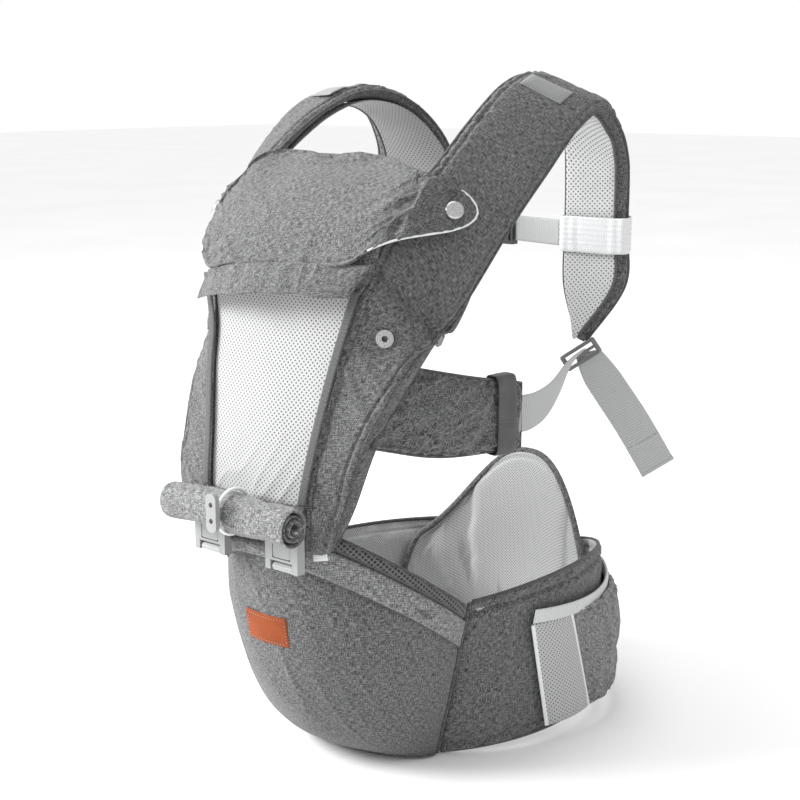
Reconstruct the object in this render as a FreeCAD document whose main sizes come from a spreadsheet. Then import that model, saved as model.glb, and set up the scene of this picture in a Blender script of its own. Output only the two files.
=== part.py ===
"""Hip-seat baby carrier: a foam wedge seat on a waist belt, with a clip-on carrier above it.

Frame: millimetres, +Z up. The wearer stands inside the belt ring, whose axis is the Z axis of
the working layout. +X is the wearer's right-hand belt wing side seen from the front, and the
seat points towards -Y. Every object is finally shifted so that the origin is at the centre of
the bottom face of the whole model's box.
"""
import FreeCAD, Part
import math
import os

import Sketcher
from FreeCAD import Placement, Rotation, Vector

document = FreeCAD.newDocument("baby_carrier")
sheet = document.addObject("Spreadsheet::Sheet", "sizes")

# ---------------------------------------------------------------- driving dimensions, in mm
SIZES = {
    # layout shift: puts the origin at the centre of the bottom of the whole model
    "shift_across": 0.0,
    "shift_along": 84.7,
    # hip seat
    "seat_back_plane": -132.0,
    "seat_foot_half_width": 84.0,
    "seat_half_width": 120.0,
    "seat_back_height": 157.0,
    "seat_depth": 148.0,
    "seat_foot_taper": 98.0,
    "seat_taper_height": 68.0,
    "seat_foot_round": 18.0,
    "seat_round_height": 9.0,
    "seat_slope": 0.70,
    "seat_block_height": 275.0,
    "cover_thickness": 3.0,
    "core_clearance": 0.4,
    "top_pad_thickness": 11.0,
    "belly_pad_thickness": 10.0,
    # belt
    "ring_radius": 151.0,
    "wing_thickness": 13.0,
    "wing_end_angle": 84.5,
    "wing_edge_lift": 14.0,
    "seam_gap": 0.5,
    "pocket_bulge": 17.0,
    "pocket_foot": 20.0,
    "pocket_top": 128.0,
    "lumbar_thickness": 11.0,
    "lumbar_reach": 62.0,
    "lumbar_side_height": 122.0,
    "lumbar_rise": 112.0,
    "lumbar_foot": 22.0,
    # webbing
    "belt_webbing_foot": 72.0,
    "webbing_width": 38.0,
    "webbing_thickness": 2.0,
    "chest_webbing_width": 25.0,
    # connectors between seat and carrier
    "connector_offset": 44.0,
    "connector_front": -294.0,
    "connector_foot": 214.0,
    "connector_width": 38.0,
    "connector_height": 34.0,
    "connector_depth": 9.0,
    "connector_rail": 6.0,
    "connector_bar_radius": 2.2,
    "connector_bar_height": 2.6,
    "connector_window_width": 20.0,
    "connector_window_height": 15.0,
    "connector_corner": 2.0,
    "button_clearance": 0.6,
    "button_depth": 2.4,
    "button_foot": 11.5,
    "tongue_width": 23.0,
    "tongue_front": 4.1,
    "tongue_foot": 12.0,
    "tongue_thickness": 2.0,
    "tongue_clearance": 0.5,
    "head_width": 32.0,
    "head_height": 5.0,
    # rolled flap
    "roll_radius": 18.0,
    "roll_length": 150.0,
    "roll_front": -309.0,
    "roll_height": 263.0,
    "elastic_radius": 1.4,
    "toggle_place": 3.0,
    "toggle_width": 12.0,
    "toggle_length": 34.0,
    "toggle_thickness": 4.5,
    "toggle_hole": 4.6,
    "toggle_hole_pitch": 14.0,
    "panel_thickness": 9.0,
    # snaps
    "ring_snap_radius": 7.5,
    "ring_snap_hole": 2.6,
    "ring_snap_height": 2.6,
    "cap_radius": 8.2,
    "cap_height": 3.4,
    "socket_radius": 6.0,
    "socket_height": 1.6,
    "hood_snap_lift": 3.2,
    "hood_lift": 0.0,
    # straps
    "strap_thickness": 18.0,
    "strap_edge": 5.0,
    "wing_pad_thickness": 11.0,
    "band_thickness": 1.6,
    "band_width": 34.0,
    "band_clearance": 3.6,
    "chest_height": 478.0,
    "chest_line": 64.0,
    "chest_buckle_start": -5.0,
    "plug_travel": 22.0,
    # side-release buckles: chest size, and the factor that makes the waist size
    "buckle_width": 33.0,
    "buckle_length": 30.0,
    "buckle_depth": 9.0,
    "buckle_wall": 2.2,
    "buckle_skin": 1.8,
    "buckle_base": 13.0,
    "buckle_clearance": 0.6,
    "prong_width": 3.6,
    "prong_head": 5.6,
    "waist_scale": 1.5,
    "waist_buckle_line": 159.0,
    # ladder lock and keepers
    "lock_width": 45.0,
    "lock_height": 17.0,
    "lock_depth": 4.5,
    "lock_slot": 3.4,
    "lock_bar": 3.0,
    "keeper_wall": 2.2,
    "keeper_height": 72.0,
    "keeper_depth": 20.0,
    "keeper_length": 22.0,
    # label
    "label_width": 50.0,
    "label_height": 29.0,
    "label_thickness": 1.6,
    "label_centre_height": 146.0,
}

for row, (alias, value) in enumerate(SIZES.items(), start=1):
    sheet.set("A%d" % row, alias)
    sheet.set("B%d" % row, str(value))
    sheet.setAlias("B%d" % row, alias)
document.recompute()

SIDES = (("right", 1), ("left", -1))
pieces = []


def size(alias):
    """A driving dimension, read back from the sheet."""
    return float(sheet.get(alias))


def origin_shift():
    """The move from the belt-ring layout to the model's own origin."""
    return Vector(size("shift_across"), size("shift_along"), 0)


def keep(piece, label, place=None):
    """Name a sub-part, put it in its place, and list it for export."""
    piece.Label = label
    base = place if place else Placement()
    piece.Placement = Placement(origin_shift(), Rotation()).multiply(base)
    pieces.append(piece)
    return piece


def mirrored(point, side):
    """The same point on the right (side 1) or the left (side -1)."""
    return Vector(point[0] * side, point[1], point[2])


def mix(start, end, share):
    return start + (end - start) * share


def group(label, members):
    """Identical pieces kept as separate solids of one sub-part."""
    compound = document.addObject("Part::Compound", label)
    compound.Links = members
    for member in members:
        pieces.remove(member)
    compound.Label = label
    pieces.append(compound)
    return compound


# ---------------------------------------------------------------- soft solids from sections
def slab_section(edge_a, edge_b, normal, thickness, edge):
    """A flat eight-sided section from one edge to the other, full in the middle."""
    across = edge_b - edge_a
    width = across.Length
    across.normalize()
    lift = Vector(normal)
    lift = lift - across * lift.dot(across)
    lift.normalize()
    corner = min(edge * 1.6, width * 0.25)
    half = thickness / 2
    rim = edge / 2
    offsets = (
        (0, -rim), (corner, -half), (width - corner, -half), (width, -rim),
        (width, rim), (width - corner, half), (corner, half), (0, rim),
    )
    return [edge_a + across * along + lift * up for along, up in offsets]


def solid_through(sections):
    """A closed solid through matching closed polygons."""
    wires = [Part.makePolygon(points + [points[0]]) for points in sections]
    shape = Part.makeLoft(wires, True, True)
    if shape.Volume < 0:
        shape.reverse()
    return shape


def soft_piece(label, shape):
    """Keep a shape built from sections as a sub-part of its own."""
    feature = document.addObject("Part::Feature", label)
    feature.Shape = shape
    return keep(feature, label)


def strip(label, rows, thickness, edge):
    """A strap-like piece: each row is an edge point, the other edge point and a normal."""
    sections = [slab_section(a, b, normal, thickness, edge) for a, b, normal in rows]
    return soft_piece(label, solid_through(sections))


def bowed_sheet(label, rows, thickness):
    """A sheet bowed across its width: each row is a list of points at one height."""
    sections = []
    for points in rows:
        front = [point - Vector(0, thickness / 2, 0) for point in points]
        back = [point + Vector(0, thickness / 2, 0) for point in reversed(points)]
        sections.append(front + back)
    return soft_piece(label, solid_through(sections))


# ---------------------------------------------------------------- sketched bodies
def origin_plane(body, role):
    return next(item for item in body.Origin.OriginFeatures if item.Role == role)


def new_sketch(body, name, role="XY_Plane"):
    sketch = body.newObject("Sketcher::SketchObject", name)
    sketch.AttachmentSupport = (origin_plane(body, role), "")
    sketch.MapMode = "FlatFace"
    return sketch


def bind(target, constraint, formula):
    """Drive a sketch constraint from the sheet."""
    target.setExpression("Constraints[%d]" % constraint, formula)


def add_rectangle(sketch, width, height, left=None, foot=None):
    """A rectangle whose sizes, and lower left corner, are formulas on the sheet."""
    first = sketch.GeometryCount
    corners = [Vector(-1, -1, 0), Vector(1, -1, 0), Vector(1, 1, 0), Vector(-1, 1, 0)]
    for index in range(4):
        sketch.addGeometry(Part.LineSegment(corners[index], corners[(index + 1) % 4]), False)
    for index in range(4):
        following = first + (index + 1) % 4
        sketch.addConstraint(Sketcher.Constraint("Coincident", first + index, 2, following, 1))
    for index, kind in enumerate(("Horizontal", "Vertical", "Horizontal", "Vertical")):
        sketch.addConstraint(Sketcher.Constraint(kind, first + index))
    across = Sketcher.Constraint("DistanceX", first, 1, first, 2, 2)
    bind(sketch, sketch.addConstraint(across), width)
    upward = Sketcher.Constraint("DistanceY", first + 1, 1, first + 1, 2, 2)
    bind(sketch, sketch.addConstraint(upward), height)
    left = left or "-(%s) / 2" % width
    foot = foot or "-(%s) / 2" % height
    corner_x = Sketcher.Constraint("DistanceX", -1, 1, first, 1, -1)
    bind(sketch, sketch.addConstraint(corner_x), left)
    corner_y = Sketcher.Constraint("DistanceY", -1, 1, first, 1, -1)
    bind(sketch, sketch.addConstraint(corner_y), foot)


def add_circle(sketch, radius, across="0", upward="0"):
    """A circle whose radius and centre are formulas on the sheet."""
    index = sketch.addGeometry(Part.Circle(Vector(0.1, 0.1, 0), Vector(0, 0, 1), 1), False)
    bind(sketch, sketch.addConstraint(Sketcher.Constraint("Radius", index, 1)), radius)
    centre_x = Sketcher.Constraint("DistanceX", -1, 1, index, 3, 0.1)
    bind(sketch, sketch.addConstraint(centre_x), across)
    centre_y = Sketcher.Constraint("DistanceY", -1, 1, index, 3, 0.1)
    bind(sketch, sketch.addConstraint(centre_y), upward)


def pad(body, sketch, length):
    feature = body.newObject("PartDesign::Pad", sketch.Name + "_pad")
    feature.Profile = sketch
    feature.setExpression("Length", length)
    document.recompute()
    return feature


def pocket(body, sketch, length=None):
    """Cut a sketch out of a body, right through or to a depth, and check that it cuts."""
    before = body.Shape.Volume
    feature = body.newObject("PartDesign::Pocket", sketch.Name + "_pocket")
    feature.Profile = sketch
    if length:
        feature.setExpression("Length", length)
    else:
        feature.Type = 1
    feature.Reversed = True
    document.recompute()
    if not feature.Shape.Volume < before - 1e-6:
        raise RuntimeError("%s cuts nothing" % feature.Name)
    return feature


def round_edges(body, base, direction, radius):
    """Round the straight edges that run along a direction."""
    names = []
    for index, edge in enumerate(base.Shape.Edges, start=1):
        if isinstance(edge.Curve, Part.Line) and abs(edge.Curve.Direction.dot(direction)) > 0.99:
            names.append("Edge%d" % index)
    feature = body.newObject("PartDesign::Fillet", base.Name + "_round")
    feature.Base = (base, names)
    feature.setExpression("Radius", radius)
    document.recompute()
    return feature


def plate(label, width, height, depth, corner):
    """A flat plate with rounded corners, its thickness along the body's own Z."""
    body = document.addObject("PartDesign::Body", label)
    sketch = new_sketch(body, label + "_outline")
    add_rectangle(sketch, width, height)
    base = pad(body, sketch, depth)
    round_edges(body, base, Vector(0, 0, 1), corner)
    return body


def block(label, formulas, corner):
    """A box whose three sizes and lowest corner are formulas on the sheet."""
    box = document.addObject("Part::Box", label)
    for name, formula in zip(("Length", "Width", "Height"), formulas):
        box.setExpression(name, formula)
    for name, formula in zip("xyz", corner):
        box.setExpression("Placement.Base." + name, formula)
    return box


def cut(label, base, tools):
    """The base with each tool taken out of it."""
    result = base
    for index, tool in enumerate(tools):
        step = document.addObject("Part::Cut", "%s_cut_%d" % (label, index + 1))
        step.Base = result
        step.Tool = tool
        result = step
    return result


# Upright plates face the front: their own Z looks towards -Y, their own Y is up.
FACING_FRONT = Rotation(Vector(1, 0, 0), 90)


# ---------------------------------------------------------------- hip seat
def seat_half_width(height):
    """The seat widens from its foot to the height of its back edge."""
    share = min(height / size("seat_back_height"), 1.0)
    return mix(size("seat_foot_half_width"), size("seat_half_width"), share)


def seat_reach(height):
    """How far the seat stands out from its back plane at a height."""
    taper = size("seat_foot_taper") * math.exp(-height / size("seat_taper_height"))
    rounding = size("seat_foot_round") * math.exp(-height / size("seat_round_height"))
    return size("seat_depth") - taper - rounding


def seat_outline(height, inset, count=19):
    """The D-shaped outline at a height, moved inwards by an inset."""
    half_width = seat_half_width(height) - inset
    reach = seat_reach(height) - inset
    back = size("seat_back_plane") - inset
    points = []
    for index in range(count):
        turn = math.pi * index / (count - 1)
        points.append(Vector(half_width * math.cos(turn), back - (reach - inset) * math.sin(turn), height))
    return points


def seat_block(inset, foot):
    """The seat as a closed block up to well above its sloping top."""
    top = size("seat_block_height")
    heights = [foot, 6, 14, 26, 42, 60, 82, 108, size("seat_back_height"), 205, top]
    return solid_through([seat_outline(height, inset) for height in heights])


def above_slope(lower, upper=400.0):
    """A slanted slab that holds everything above the seat's sloping top, from an offset up."""
    back = size("seat_back_plane")
    height = size("seat_back_height")
    slope = size("seat_slope")
    reach = 260.0
    stretch = math.sqrt(1 + slope ** 2)
    profile = []
    for along, offset in ((60, lower), (-reach, lower), (-reach, upper), (60, upper)):
        rise = height - slope * along + offset * stretch
        profile.append(Vector(-200, back + along, rise))
    face = Part.Face(Part.makePolygon(profile + [profile[0]]))
    return face.extrude(Vector(400, 0, 0))


def make_seat():
    """Foam core, fabric cover round it, and the padded top where the child sits."""
    cover = size("cover_thickness")
    top_pad = size("top_pad_thickness")
    inner = cover + size("core_clearance")
    gap = size("core_clearance")
    outside = seat_block(0, 0).cut(above_slope(-top_pad - gap))
    hollow = seat_block(cover, cover).cut(above_slope(-top_pad - gap - cover))
    core = seat_block(inner, inner).cut(above_slope(-top_pad - gap - inner))
    soft_piece("seat_cover", outside.cut(hollow))
    soft_piece("seat_core", core)
    pad_block = seat_block(0, 0).common(above_slope(-top_pad, 0))
    soft_piece("seat_top_pad", pad_block)


def make_belly_pad():
    """The pad on the wearer's side of the seat, inside the belt ring."""
    back = size("seat_back_plane") + 0.6
    depth = size("belly_pad_thickness")
    margin = size("wing_thickness") + 8
    rows = []
    for height in (4, size("seat_back_height") - 4):
        half_width = seat_half_width(height) - margin
        middle = Vector(0, back + depth / 2, height)
        rows.append((middle - Vector(half_width, 0, 0), middle + Vector(half_width, 0, 0), Vector(0, 1, 0)))
    strip("belly_pad", rows, depth, size("strap_edge"))


def make_label():
    """The blank leather patch sewn on the seat's front, bowed to the seat's curve."""
    centre = size("label_centre_height")
    half_width = size("label_width") / 2
    rows = []
    for height in (centre - size("label_height") / 2, centre + size("label_height") / 2):
        reach = seat_reach(height)
        points = []
        for share in (-1, -0.6, -0.2, 0.2, 0.6, 1):
            across = share * half_width
            bulge = math.sqrt(1 - (across / seat_half_width(height)) ** 2)
            front = size("seat_back_plane") - reach * bulge - size("label_thickness") / 2 - 0.2
            points.append(Vector(across, front, height))
        rows.append(points)
    bowed_sheet("label_patch", rows, size("label_thickness"))


# ---------------------------------------------------------------- waist belt
def wing_point(share, height, side, inward=0.0):
    """A point of a wing's outer face: share 0 is the seam on the seat, 1 the back end."""
    half_width = seat_half_width(height)
    back = size("seat_back_plane") + size("seam_gap")
    start = math.degrees(math.atan2(back, half_width))
    angle = math.radians(mix(start, size("wing_end_angle"), share))
    seam_radius = math.hypot(half_width, back)
    flare = (seam_radius - size("ring_radius")) * (1 - share) ** 3
    radius = size("ring_radius") + flare - inward
    return Vector(side * radius * math.cos(angle), radius * math.sin(angle), height)


def wing_top(share, side):
    """The wing's upper edge; the right wing is set a little higher at its side."""
    side_rise = 18 if side > 0 else -9
    front = size("seat_back_height")
    back_drop = 16 * share ** 2
    return front + side_rise * math.sin(math.pi * min(share * 1.15, 1)) - back_drop


def wing_foot(share):
    """The wing's lower edge arches slightly off the ground between seat and back."""
    return 0.4 + size("wing_edge_lift") * math.sin(math.pi * share)


def wing_inward(share, side):
    """The horizontal direction from a wing's outer face to the wearer."""
    middle = wing_point(share, size("seat_back_height") / 2, side)
    if share == 0:
        return Vector(-0.72 * side, 0.69, 0)
    return Vector(-middle.x, -middle.y, 0).normalize()


def make_wing(name, side):
    """One padded belt wing, from the seat's side seam round to the back."""
    thickness = size("wing_thickness")
    rows = []
    for index in range(13):
        share = index / 12
        inward = wing_inward(share, side)
        half = inward * (thickness / 2)
        foot = wing_point(share, wing_foot(share), side) + half
        top = wing_point(share, wing_top(share, side), side) + half
        rows.append((foot, top, inward))
    strip("belt_wing_" + name, rows, thickness, size("strap_edge"))


def make_pocket(name, side):
    """The storage pocket on a wing: mesh front strip, fabric pouch and elastic top band.

    Each part leans forward: its shares are given at its foot and at its top.
    """
    foot, top = size("pocket_foot"), size("pocket_top")
    full = size("pocket_bulge")
    parts = (("pocket_mesh_", (0.28, 0.455), (0.175, 0.305), 3.5, 5),
             ("pocket_pouch_", (0.462, 0.76), (0.312, 0.72), 5, full))
    members = []
    for label, low_shares, high_shares, edge_out, middle_out in parts:
        rows = []
        for index in range(7):
            low_share = mix(low_shares[0], low_shares[1], index / 6)
            high_share = mix(high_shares[0], high_shares[1], index / 6)
            swell = math.sin(math.pi * index / 6)
            depth = mix(edge_out, middle_out, swell)
            inward = wing_inward((low_share + high_share) / 2, side)
            shift = inward * (-depth / 2 - 1.6)
            low = wing_point(low_share, foot, side) + shift
            high = wing_point(high_share, top, side) + shift
            rows.append(slab_section(low, high, inward, depth, 3))
        members.append(soft_piece(label + name, solid_through(rows)))
    group("pocket_" + name, members)
    rows = []
    for index in range(9):
        share = mix(0.175, 0.72, index / 8)
        inward = wing_inward(share, side)
        shift = inward * (-2.4)
        low, high = top + 2, top + 15
        rows.append((wing_point(share, low, side) + shift, wing_point(share, high, side) + shift, inward))
    strip("pocket_band_" + name, rows, 3.2, 1.6)


def make_belt_webbing(name, side):
    """The waist webbing on the outside of a wing, running to its half of the buckle."""
    low = size("belt_webbing_foot")
    high = low + size("webbing_width")
    lift = size("webbing_thickness") / 2 + 0.5
    rows = []
    for index in range(5):
        share = mix(0.81, 0.90, index / 4)
        inward = wing_inward(share, side)
        outset = inward * (-lift - 5 * (index / 4) ** 2)
        rows.append((wing_point(share, low, side) + outset, wing_point(share, high, side) + outset, inward))
    factor = size("waist_scale")
    reach = size("buckle_length") * factor if side > 0 else size("buckle_base") * factor + 0.3
    line = size("waist_buckle_line")
    across = side * (reach + 0.4)
    rows.append((Vector(across, line, low), Vector(across, line, high), Vector(0, -1, 0)))
    strip("belt_webbing_" + name, rows, size("webbing_thickness"), 1.2)


def lumbar_height(angle):
    """Top edge of the back pad: low at both ends, with a rounded rise in the middle."""
    share = (angle - 90) / size("lumbar_reach")
    return size("lumbar_side_height") + size("lumbar_rise") * math.exp(-abs(share * 1.62) ** 2.3)


def make_lumbar_pad():
    """The padded back support that stands up inside the belt."""
    thickness = size("lumbar_thickness")
    radius = size("ring_radius") - size("wing_thickness") - 1.2 - thickness / 2
    rows = []
    count = 25
    for index in range(count):
        angle = 90 - size("lumbar_reach") + 2 * size("lumbar_reach") * index / (count - 1)
        turn = math.radians(angle)
        outward = Vector(math.cos(turn), math.sin(turn), 0)
        ends = min(index, count - 1 - index)
        drop = (28, 10, 2)[ends] if ends < 3 else 0
        foot = outward * radius + Vector(0, 0, size("lumbar_foot") + drop * 0.6)
        top = outward * radius + Vector(0, 0, lumbar_height(angle) - drop)
        rows.append((foot, top, outward))
    strip("lumbar_pad", rows, thickness, size("strap_edge"))


# ---------------------------------------------------------------- seat-to-carrier connectors
def connector_corner(side, lift=0.0):
    """The middle of the lower front edge of a connector."""
    return Placement(
        Vector(side * size("connector_offset"), size("connector_front"), size("connector_foot") + lift),
        Rotation(),
    )


def make_connector_female(name, side):
    """The socket frame: two rails, a bar for the seat tab, a button window and a tongue slot."""
    label = "connector_female_" + name
    width = "sizes.connector_width"
    depth = "sizes.connector_depth"
    inside = "(sizes.connector_width - 2 * sizes.connector_rail)"
    frame = block(label + "_frame", (width, depth, "sizes.connector_height"),
                  ("-sizes.connector_width / 2", "0", "0"))
    lower = block(label + "_lower_notch", (inside, "2 * " + depth, "10"),
                  ("-%s / 2" % inside, "-1", "-1.4"))
    upper = block(label + "_upper_notch", (inside, "2 * " + depth, "10"),
                  ("-%s / 2" % inside, "-1", "sizes.connector_height - 4"))
    slot_width = "(sizes.tongue_width + 2 * sizes.tongue_clearance)"
    slot = block(label + "_tongue_slot",
                 (slot_width, "sizes.tongue_thickness + 2 * sizes.tongue_clearance", "60"),
                 ("-%s / 2" % slot_width,
                  "sizes.tongue_front - sizes.tongue_clearance", "sizes.tongue_foot - 1"))
    window_width = "(sizes.connector_window_width + 2 * sizes.button_clearance)"
    window = block(label + "_button_window",
                   (window_width, "sizes.tongue_front + 1",
                    "sizes.connector_window_height + 2 * sizes.button_clearance"),
                   ("-%s / 2" % window_width, "-1", "sizes.button_foot - sizes.button_clearance"))
    carved = cut(label, frame, (lower, upper, slot, window))
    bar = document.addObject("Part::Cylinder", label + "_bar")
    bar.setExpression("Radius", "sizes.connector_bar_radius")
    bar.setExpression("Height", "sizes.connector_width - 2")
    bar.Placement = Placement(Vector(0, 0, 0), Rotation(Vector(0, 1, 0), 90))
    bar.setExpression("Placement.Base.x", "1 - sizes.connector_width / 2")
    bar.setExpression("Placement.Base.y", "sizes.connector_depth / 2")
    bar.setExpression("Placement.Base.z", "sizes.connector_bar_height")
    whole = document.addObject("Part::Fuse", label + "_whole")
    whole.Base = carved
    whole.Tool = bar
    return keep(whole, label, connector_corner(side))


def make_connector_button(name, side):
    """The push button that fills the socket's window."""
    body = plate("connector_button_" + name, "sizes.connector_window_width",
                 "sizes.connector_window_height", "sizes.button_depth", "sizes.connector_corner")
    centre = connector_corner(side, size("button_foot") + size("connector_window_height") / 2)
    centre.Base.y += 0.3 + size("button_depth")
    return keep(body, "connector_button_" + name, Placement(centre.Base, FACING_FRONT))


def make_connector_male(name, side):
    """The tongue that drops into the socket, with the head that the carrier's hem holds."""
    label = "connector_male_" + name
    tongue = block(label + "_tongue",
                   ("sizes.tongue_width", "sizes.tongue_thickness",
                    "sizes.connector_height + 1 - sizes.tongue_foot"),
                   ("-sizes.tongue_width / 2", "sizes.tongue_front", "sizes.tongue_foot"))
    head = block(label + "_head", ("sizes.head_width", "sizes.connector_depth - 2", "sizes.head_height"),
                 ("-sizes.head_width / 2", "1", "sizes.connector_height + 0.4"))
    slot = block(label + "_slot", ("sizes.tongue_width", "2.4", "20"),
                 ("-sizes.tongue_width / 2", "3.3", "sizes.connector_height + 2.4"))
    carved = cut(label, head, (slot,))
    whole = document.addObject("Part::Fuse", label + "_whole")
    whole.Base = carved
    whole.Tool = tongue
    return keep(whole, label, connector_corner(side))


def make_seat_tab(name, side):
    """The webbing tab that comes off the seat's front and loops round the socket's bar."""
    half_width = (size("connector_width") - 2 * size("connector_rail")) / 2 - 0.8
    centre = side * size("connector_offset")
    bar_front = size("connector_front") + size("connector_depth") / 2
    bar_height = size("connector_foot") + size("connector_bar_height")
    inner = size("connector_bar_radius") + 0.4
    outer = inner + 1.3
    base = Vector(centre - half_width, bar_front, bar_height)
    ring = Part.makeCylinder(outer, 2 * half_width, base, Vector(1, 0, 0))
    ring = ring.cut(Part.makeCylinder(inner, 2 * half_width, base, Vector(1, 0, 0)))
    anchor = bar_height - 2
    bulge = math.sqrt(1 - (abs(centre) / seat_half_width(anchor)) ** 2)
    seat_front = size("seat_back_plane") - seat_reach(anchor) * bulge - 5.6
    outline = (
        (bar_front + inner + 0.1, 0.8), (seat_front, 0.8), (seat_front, -9),
        (seat_front - 1.4, -9), (seat_front - 1.4, -0.6), (bar_front + inner + 0.1, -0.6),
    )
    profile = [Vector(centre - half_width, along, bar_height + rise) for along, rise in outline]
    tail = Part.Face(Part.makePolygon(profile + [profile[0]])).extrude(Vector(2 * half_width, 0, 0))
    return soft_piece("seat_tab_" + name, ring.fuse(tail).removeSplitter())


# ---------------------------------------------------------------- carrier panel
# Outer edge of each half of the panel, bottom to top, up to where it runs into the strap.
# All the side tables give distances from the middle; the left half hangs a little narrower.
PANEL_EDGE = {
    1: ((76, -268, 228), (88, -264, 266), (103, -256, 322), (124, -240, 374), (132, -206, 412)),
    -1: ((84, -268, 228), (110, -264, 266), (110, -256, 322), (108, -242, 374), (109, -222, 402)),
}
# Window edge of the same rows.
PANEL_INNER = ((53, -278.5, 228), (57, -278, 266), (63, -268, 322), (71, -257, 374), (77, -247, 412))
# Where the window's edge goes on above the panel's side, under the visor.
WINDOW_TOP = (81, -243, 440)
# Both edges of the shoulder strap, from the panel over the shoulder and down to its tip.
STRAP_INNER = {
    1: ((97, -234, 480), (100, -190, 526), (100, -150, 556), (100, -110, 587), (100, -65, 616),
        (100, -25, 625), (98, 20, 612), (95, 44, 570), (94, 50, 528), (94, 50, 480), (94, 50, 430),
        (104, 50, 379)),
    -1: ((90, -236, 478), (94, -200, 515), (96, -160, 545), (97, -120, 572), (97, -70, 597),
         (95, -20, 610), (88, 30, 602), (79, 68, 574), (76, 91, 538), (76, 92, 480), (76, 92, 430),
         (84, 86, 380)),
}
STRAP_OUTER = {
    1: ((135, -184, 416), (143, -148, 461), (149, -112, 503), (152, -70, 541), (152, -20, 580),
        (151, 25, 595), (150, 55, 574), (150, 67, 552), (150, 70, 530), (150, 70, 480),
        (150, 70, 430), (122, 53, 372)),
    -1: ((112, -205, 420), (124, -185, 470), (134, -160, 515), (142, -118, 558), (147, -65, 594),
         (148, -5, 604), (150, 35, 590), (151, 56, 562), (150, 60, 535), (150, 60, 480),
         (146, 61, 430), (112, 76, 373)),
}


def through(points, count):
    """A smooth line through a few points, as evenly numbered points on it."""
    line = [Vector(*point) for point in points]
    line = [line[0] * 2 - line[1]] + line + [line[-1] * 2 - line[-2]]
    spans = len(line) - 3
    result = []
    for index in range(count):
        place = spans * index / (count - 1)
        first = min(int(place), spans - 1)
        part = place - first
        before, start, end, after = line[first:first + 4]
        result.append((
            start * 2 + (end - before) * part
            + (before * 2 - start * 5 + end * 4 - after) * part ** 2
            + (start * 3 - before - end * 3 + after) * part ** 3
        ) * 0.5)
    return result


def strap_rows(side, offset, inset=0.0, count=34):
    """Rows across the shoulder strap, moved outwards from its middle layer by an offset."""
    inner = through(STRAP_INNER[side], count)
    outer = through(STRAP_OUTER[side], count)
    middle = [mix(a, b, 0.5) for a, b in zip(inner, outer)]
    rows = []
    for index in range(count):
        ahead = middle[min(index + 1, count - 1)] - middle[max(index - 1, 0)]
        across = (outer[index] - inner[index]).normalize()
        normal = across.cross(ahead).normalize()
        start = inner[index] + normal * offset + across * inset
        end = outer[index] + normal * offset - across * inset
        rows.append((mirrored(start, side), mirrored(end, side), mirrored(normal, side)))
    return rows


def panel_side_rows(side):
    """Rows of the panel's side, from the hem up to the start of the strap."""
    inner = through(list(PANEL_INNER) + [STRAP_INNER[side][0]], 11)
    outer = through(list(PANEL_EDGE[side]) + [STRAP_OUTER[side][0]], 11)
    normal = Vector(0.45 * side, -0.88, 0.15)
    return [(mirrored(a, side), mirrored(b, side), normal) for a, b in zip(inner, outer)]


def make_panel_side(name, side):
    """The fabric side of the panel, from the hem up to where the strap begins."""
    strip("panel_side_" + name, panel_side_rows(side), size("panel_thickness"), size("strap_edge"))


def window_row(height, inset, push, bow=6.0, count=7):
    """Points across the window at a height, bowed to the front."""
    inner = through(PANEL_INNER + (WINDOW_TOP,), 26)
    low = max(index for index, point in enumerate(inner[:-1]) if point.z <= height)
    share = (height - inner[low].z) / (inner[low + 1].z - inner[low].z)
    corner = mix(inner[low], inner[low + 1], share)
    half_width = corner.x - inset
    points = []
    for index in range(count):
        across = -1 + 2 * index / (count - 1)
        points.append(Vector(across * half_width, corner.y + push - bow * (1 - across ** 2), height))
    return points


def make_window():
    """The breathable mesh window and the layer of lining that backs the panel."""
    heights = (269, 300, 330, 370, 411, 433)
    bowed_sheet("window_mesh", [window_row(height, 2.0, 0) for height in heights], 2.4)
    lining = [window_row(height, -4, 15, 4.0) for height in (266, 300, 350, 400)]
    bowed_sheet("panel_lining", lining, 4)


def make_binding(name, side):
    """The dark binding along one side of the window."""
    rows = []
    for point in through(PANEL_INNER, 9)[2:]:
        centre = mirrored(point, side) + Vector(0, -6.4, 0)
        rows.append((centre - Vector(4 * side, 0.6, 0), centre + Vector(4 * side, 0, 0), Vector(0, -1, 0)))
    return strip("window_binding_" + name, rows, 2, 1)


def make_panel_top():
    """The fabric yoke above the window, between the two straps, under the hood."""
    rows = []
    for height, half_width, front in ((437, 80, -245), (455, 84, -243), (474, 88, -240)):
        points = []
        for share in (-1, -0.6, -0.2, 0.2, 0.6, 1):
            points.append(Vector(share * half_width, front - 5 * (1 - share ** 2), height))
        rows.append(points)
    bowed_sheet("panel_yoke", rows, 7)


def make_hem():
    """The gathered hem at the panel's foot, which holds both connector tongues."""
    rows = []
    for across in (-54, -27, 0, 27, 54):
        bend = 2 * (1 - (across / 54) ** 2)
        foot = Vector(across, -281.5 - bend, 254.4)
        rows.append((foot, foot + Vector(0, 0.6, 12), Vector(0, -1, 0)))
    sections = [slab_section(a, b, normal, 5, 3) for a, b, normal in rows]
    soft_piece("panel_hem", solid_through(sections))


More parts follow.
